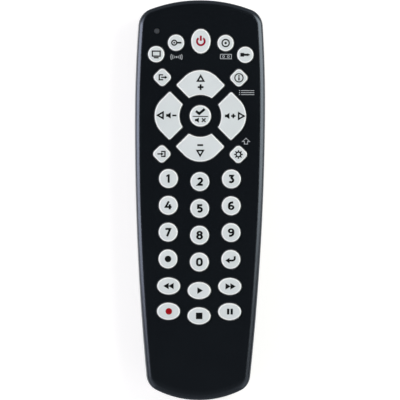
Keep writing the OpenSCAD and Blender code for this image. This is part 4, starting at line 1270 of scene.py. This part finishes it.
# Camera: a long lens from above. PX is the span of a pixel at the height of the keys, the origin shows at a
# pixel of the picture, and the view is rolled and leans to the side by so many degrees.
PHOTO_PX = 400
PX = 0.4494 * MM
ORIGIN_PX = (199.85, 200.15)
ROLL = 0.38
LEAN = 1.5
LENS_MM = 1000.0
SENSOR_MM = 36.0
CLIP_NEAR = 0.1
CLIP_FAR = 20.0


def make_floor():
    """A pale floor that takes the shadow and glows toward the camera and in reflections."""
    mesh = bpy.data.meshes.new("floor")
    h = FLOOR_SIZE / 2
    corners = [(-h, -h, FLOOR_Z), (h, -h, FLOOR_Z), (h, h, FLOOR_Z), (-h, h, FLOOR_Z)]
    mesh.from_pydata(corners, [], [(0, 1, 2, 3)])
    m = bpy.data.materials.new("pale_floor")
    m.use_nodes = True
    tree = m.node_tree
    shader = tree.nodes["Principled BSDF"]
    give(shader, {"Base Color": FLOOR_GREY, "Roughness": FLOOR_ROUGHNESS, "Specular IOR Level": 0.0,
                  "Emission Color": (*WHITE, 1.0)})
    path = new_node(tree, "LightPath")
    seen = new_node(tree, "Math")
    seen.operation = "MAXIMUM"
    mirrored_too = new_node(tree, "Math")
    mirrored_too.operation = "MAXIMUM"
    glow = new_node(tree, "Math")
    glow.operation = "MULTIPLY"
    glow.inputs[1].default_value = FLOOR_GLOW
    wire(tree, (path, "Is Camera Ray", seen, 0), (path, "Is Glossy Ray", seen, 1), (seen, 0, mirrored_too, 0),
         (path, "Is Transmission Ray", mirrored_too, 1), (mirrored_too, 0, glow, 0),
         (glow, 0, shader, "Emission Strength"))
    mesh.materials.append(m)
    floor = add_object("floor", mesh)


def make_panel(name, azimuth, zenith, distance, width, height, radiance, shift=0.0, colour=WHITE):
    """A soft light panel that faces the object, then shifted along Y."""
    data = bpy.data.lights.new(name, "AREA")
    data.shape = "RECTANGLE"
    data.size = width
    data.size_y = height
    data.energy = radiance * math.pi * width * height
    data.color = colour
    lamp = add_object(name, data)
    a, t = math.radians(azimuth), math.radians(zenith)
    out = distance * math.sin(t)
    lamp.location = (out * math.cos(a), out * math.sin(a) + shift, distance * math.cos(t))
    lamp.rotation_euler = (t, 0, a + math.pi / 2)
    lamp.visible_camera = False


def make_light():
    world = bpy.data.worlds.new("studio")
    bpy.context.scene.world = world
    world.use_nodes = True
    backdrop = world.node_tree.nodes["Background"]
    give(backdrop, {"Color": BACKDROP, "Strength": BACKDROP_STRENGTH})
    for name, values in PANELS.items():
        make_panel(name, *values)


def make_camera():
    data = bpy.data.cameras.new("camera")
    data.lens = LENS_MM
    data.sensor_width = SENSOR_MM
    distance = PX * PHOTO_PX * LENS_MM / SENSOR_MM
    camera = add_object("camera", data)
    half = PHOTO_PX / 2
    lean, roll = math.radians(LEAN), math.radians(ROLL)
    aside = distance * math.sin(lean)
    camera.location = ((half - ORIGIN_PX[0]) * PX - aside * math.cos(roll),
                       (ORIGIN_PX[1] - half) * PX - aside * math.sin(roll),
                       distance * math.cos(lean) + KEY_TOP * MM)
    camera.rotation_euler = (0, -lean, roll)
    data.clip_start = CLIP_NEAR
    data.clip_end = CLIP_FAR
    bpy.context.scene.camera = camera


make_floor()
make_light()
make_camera()
bpy.context.scene.view_settings.view_transform = "Standard"
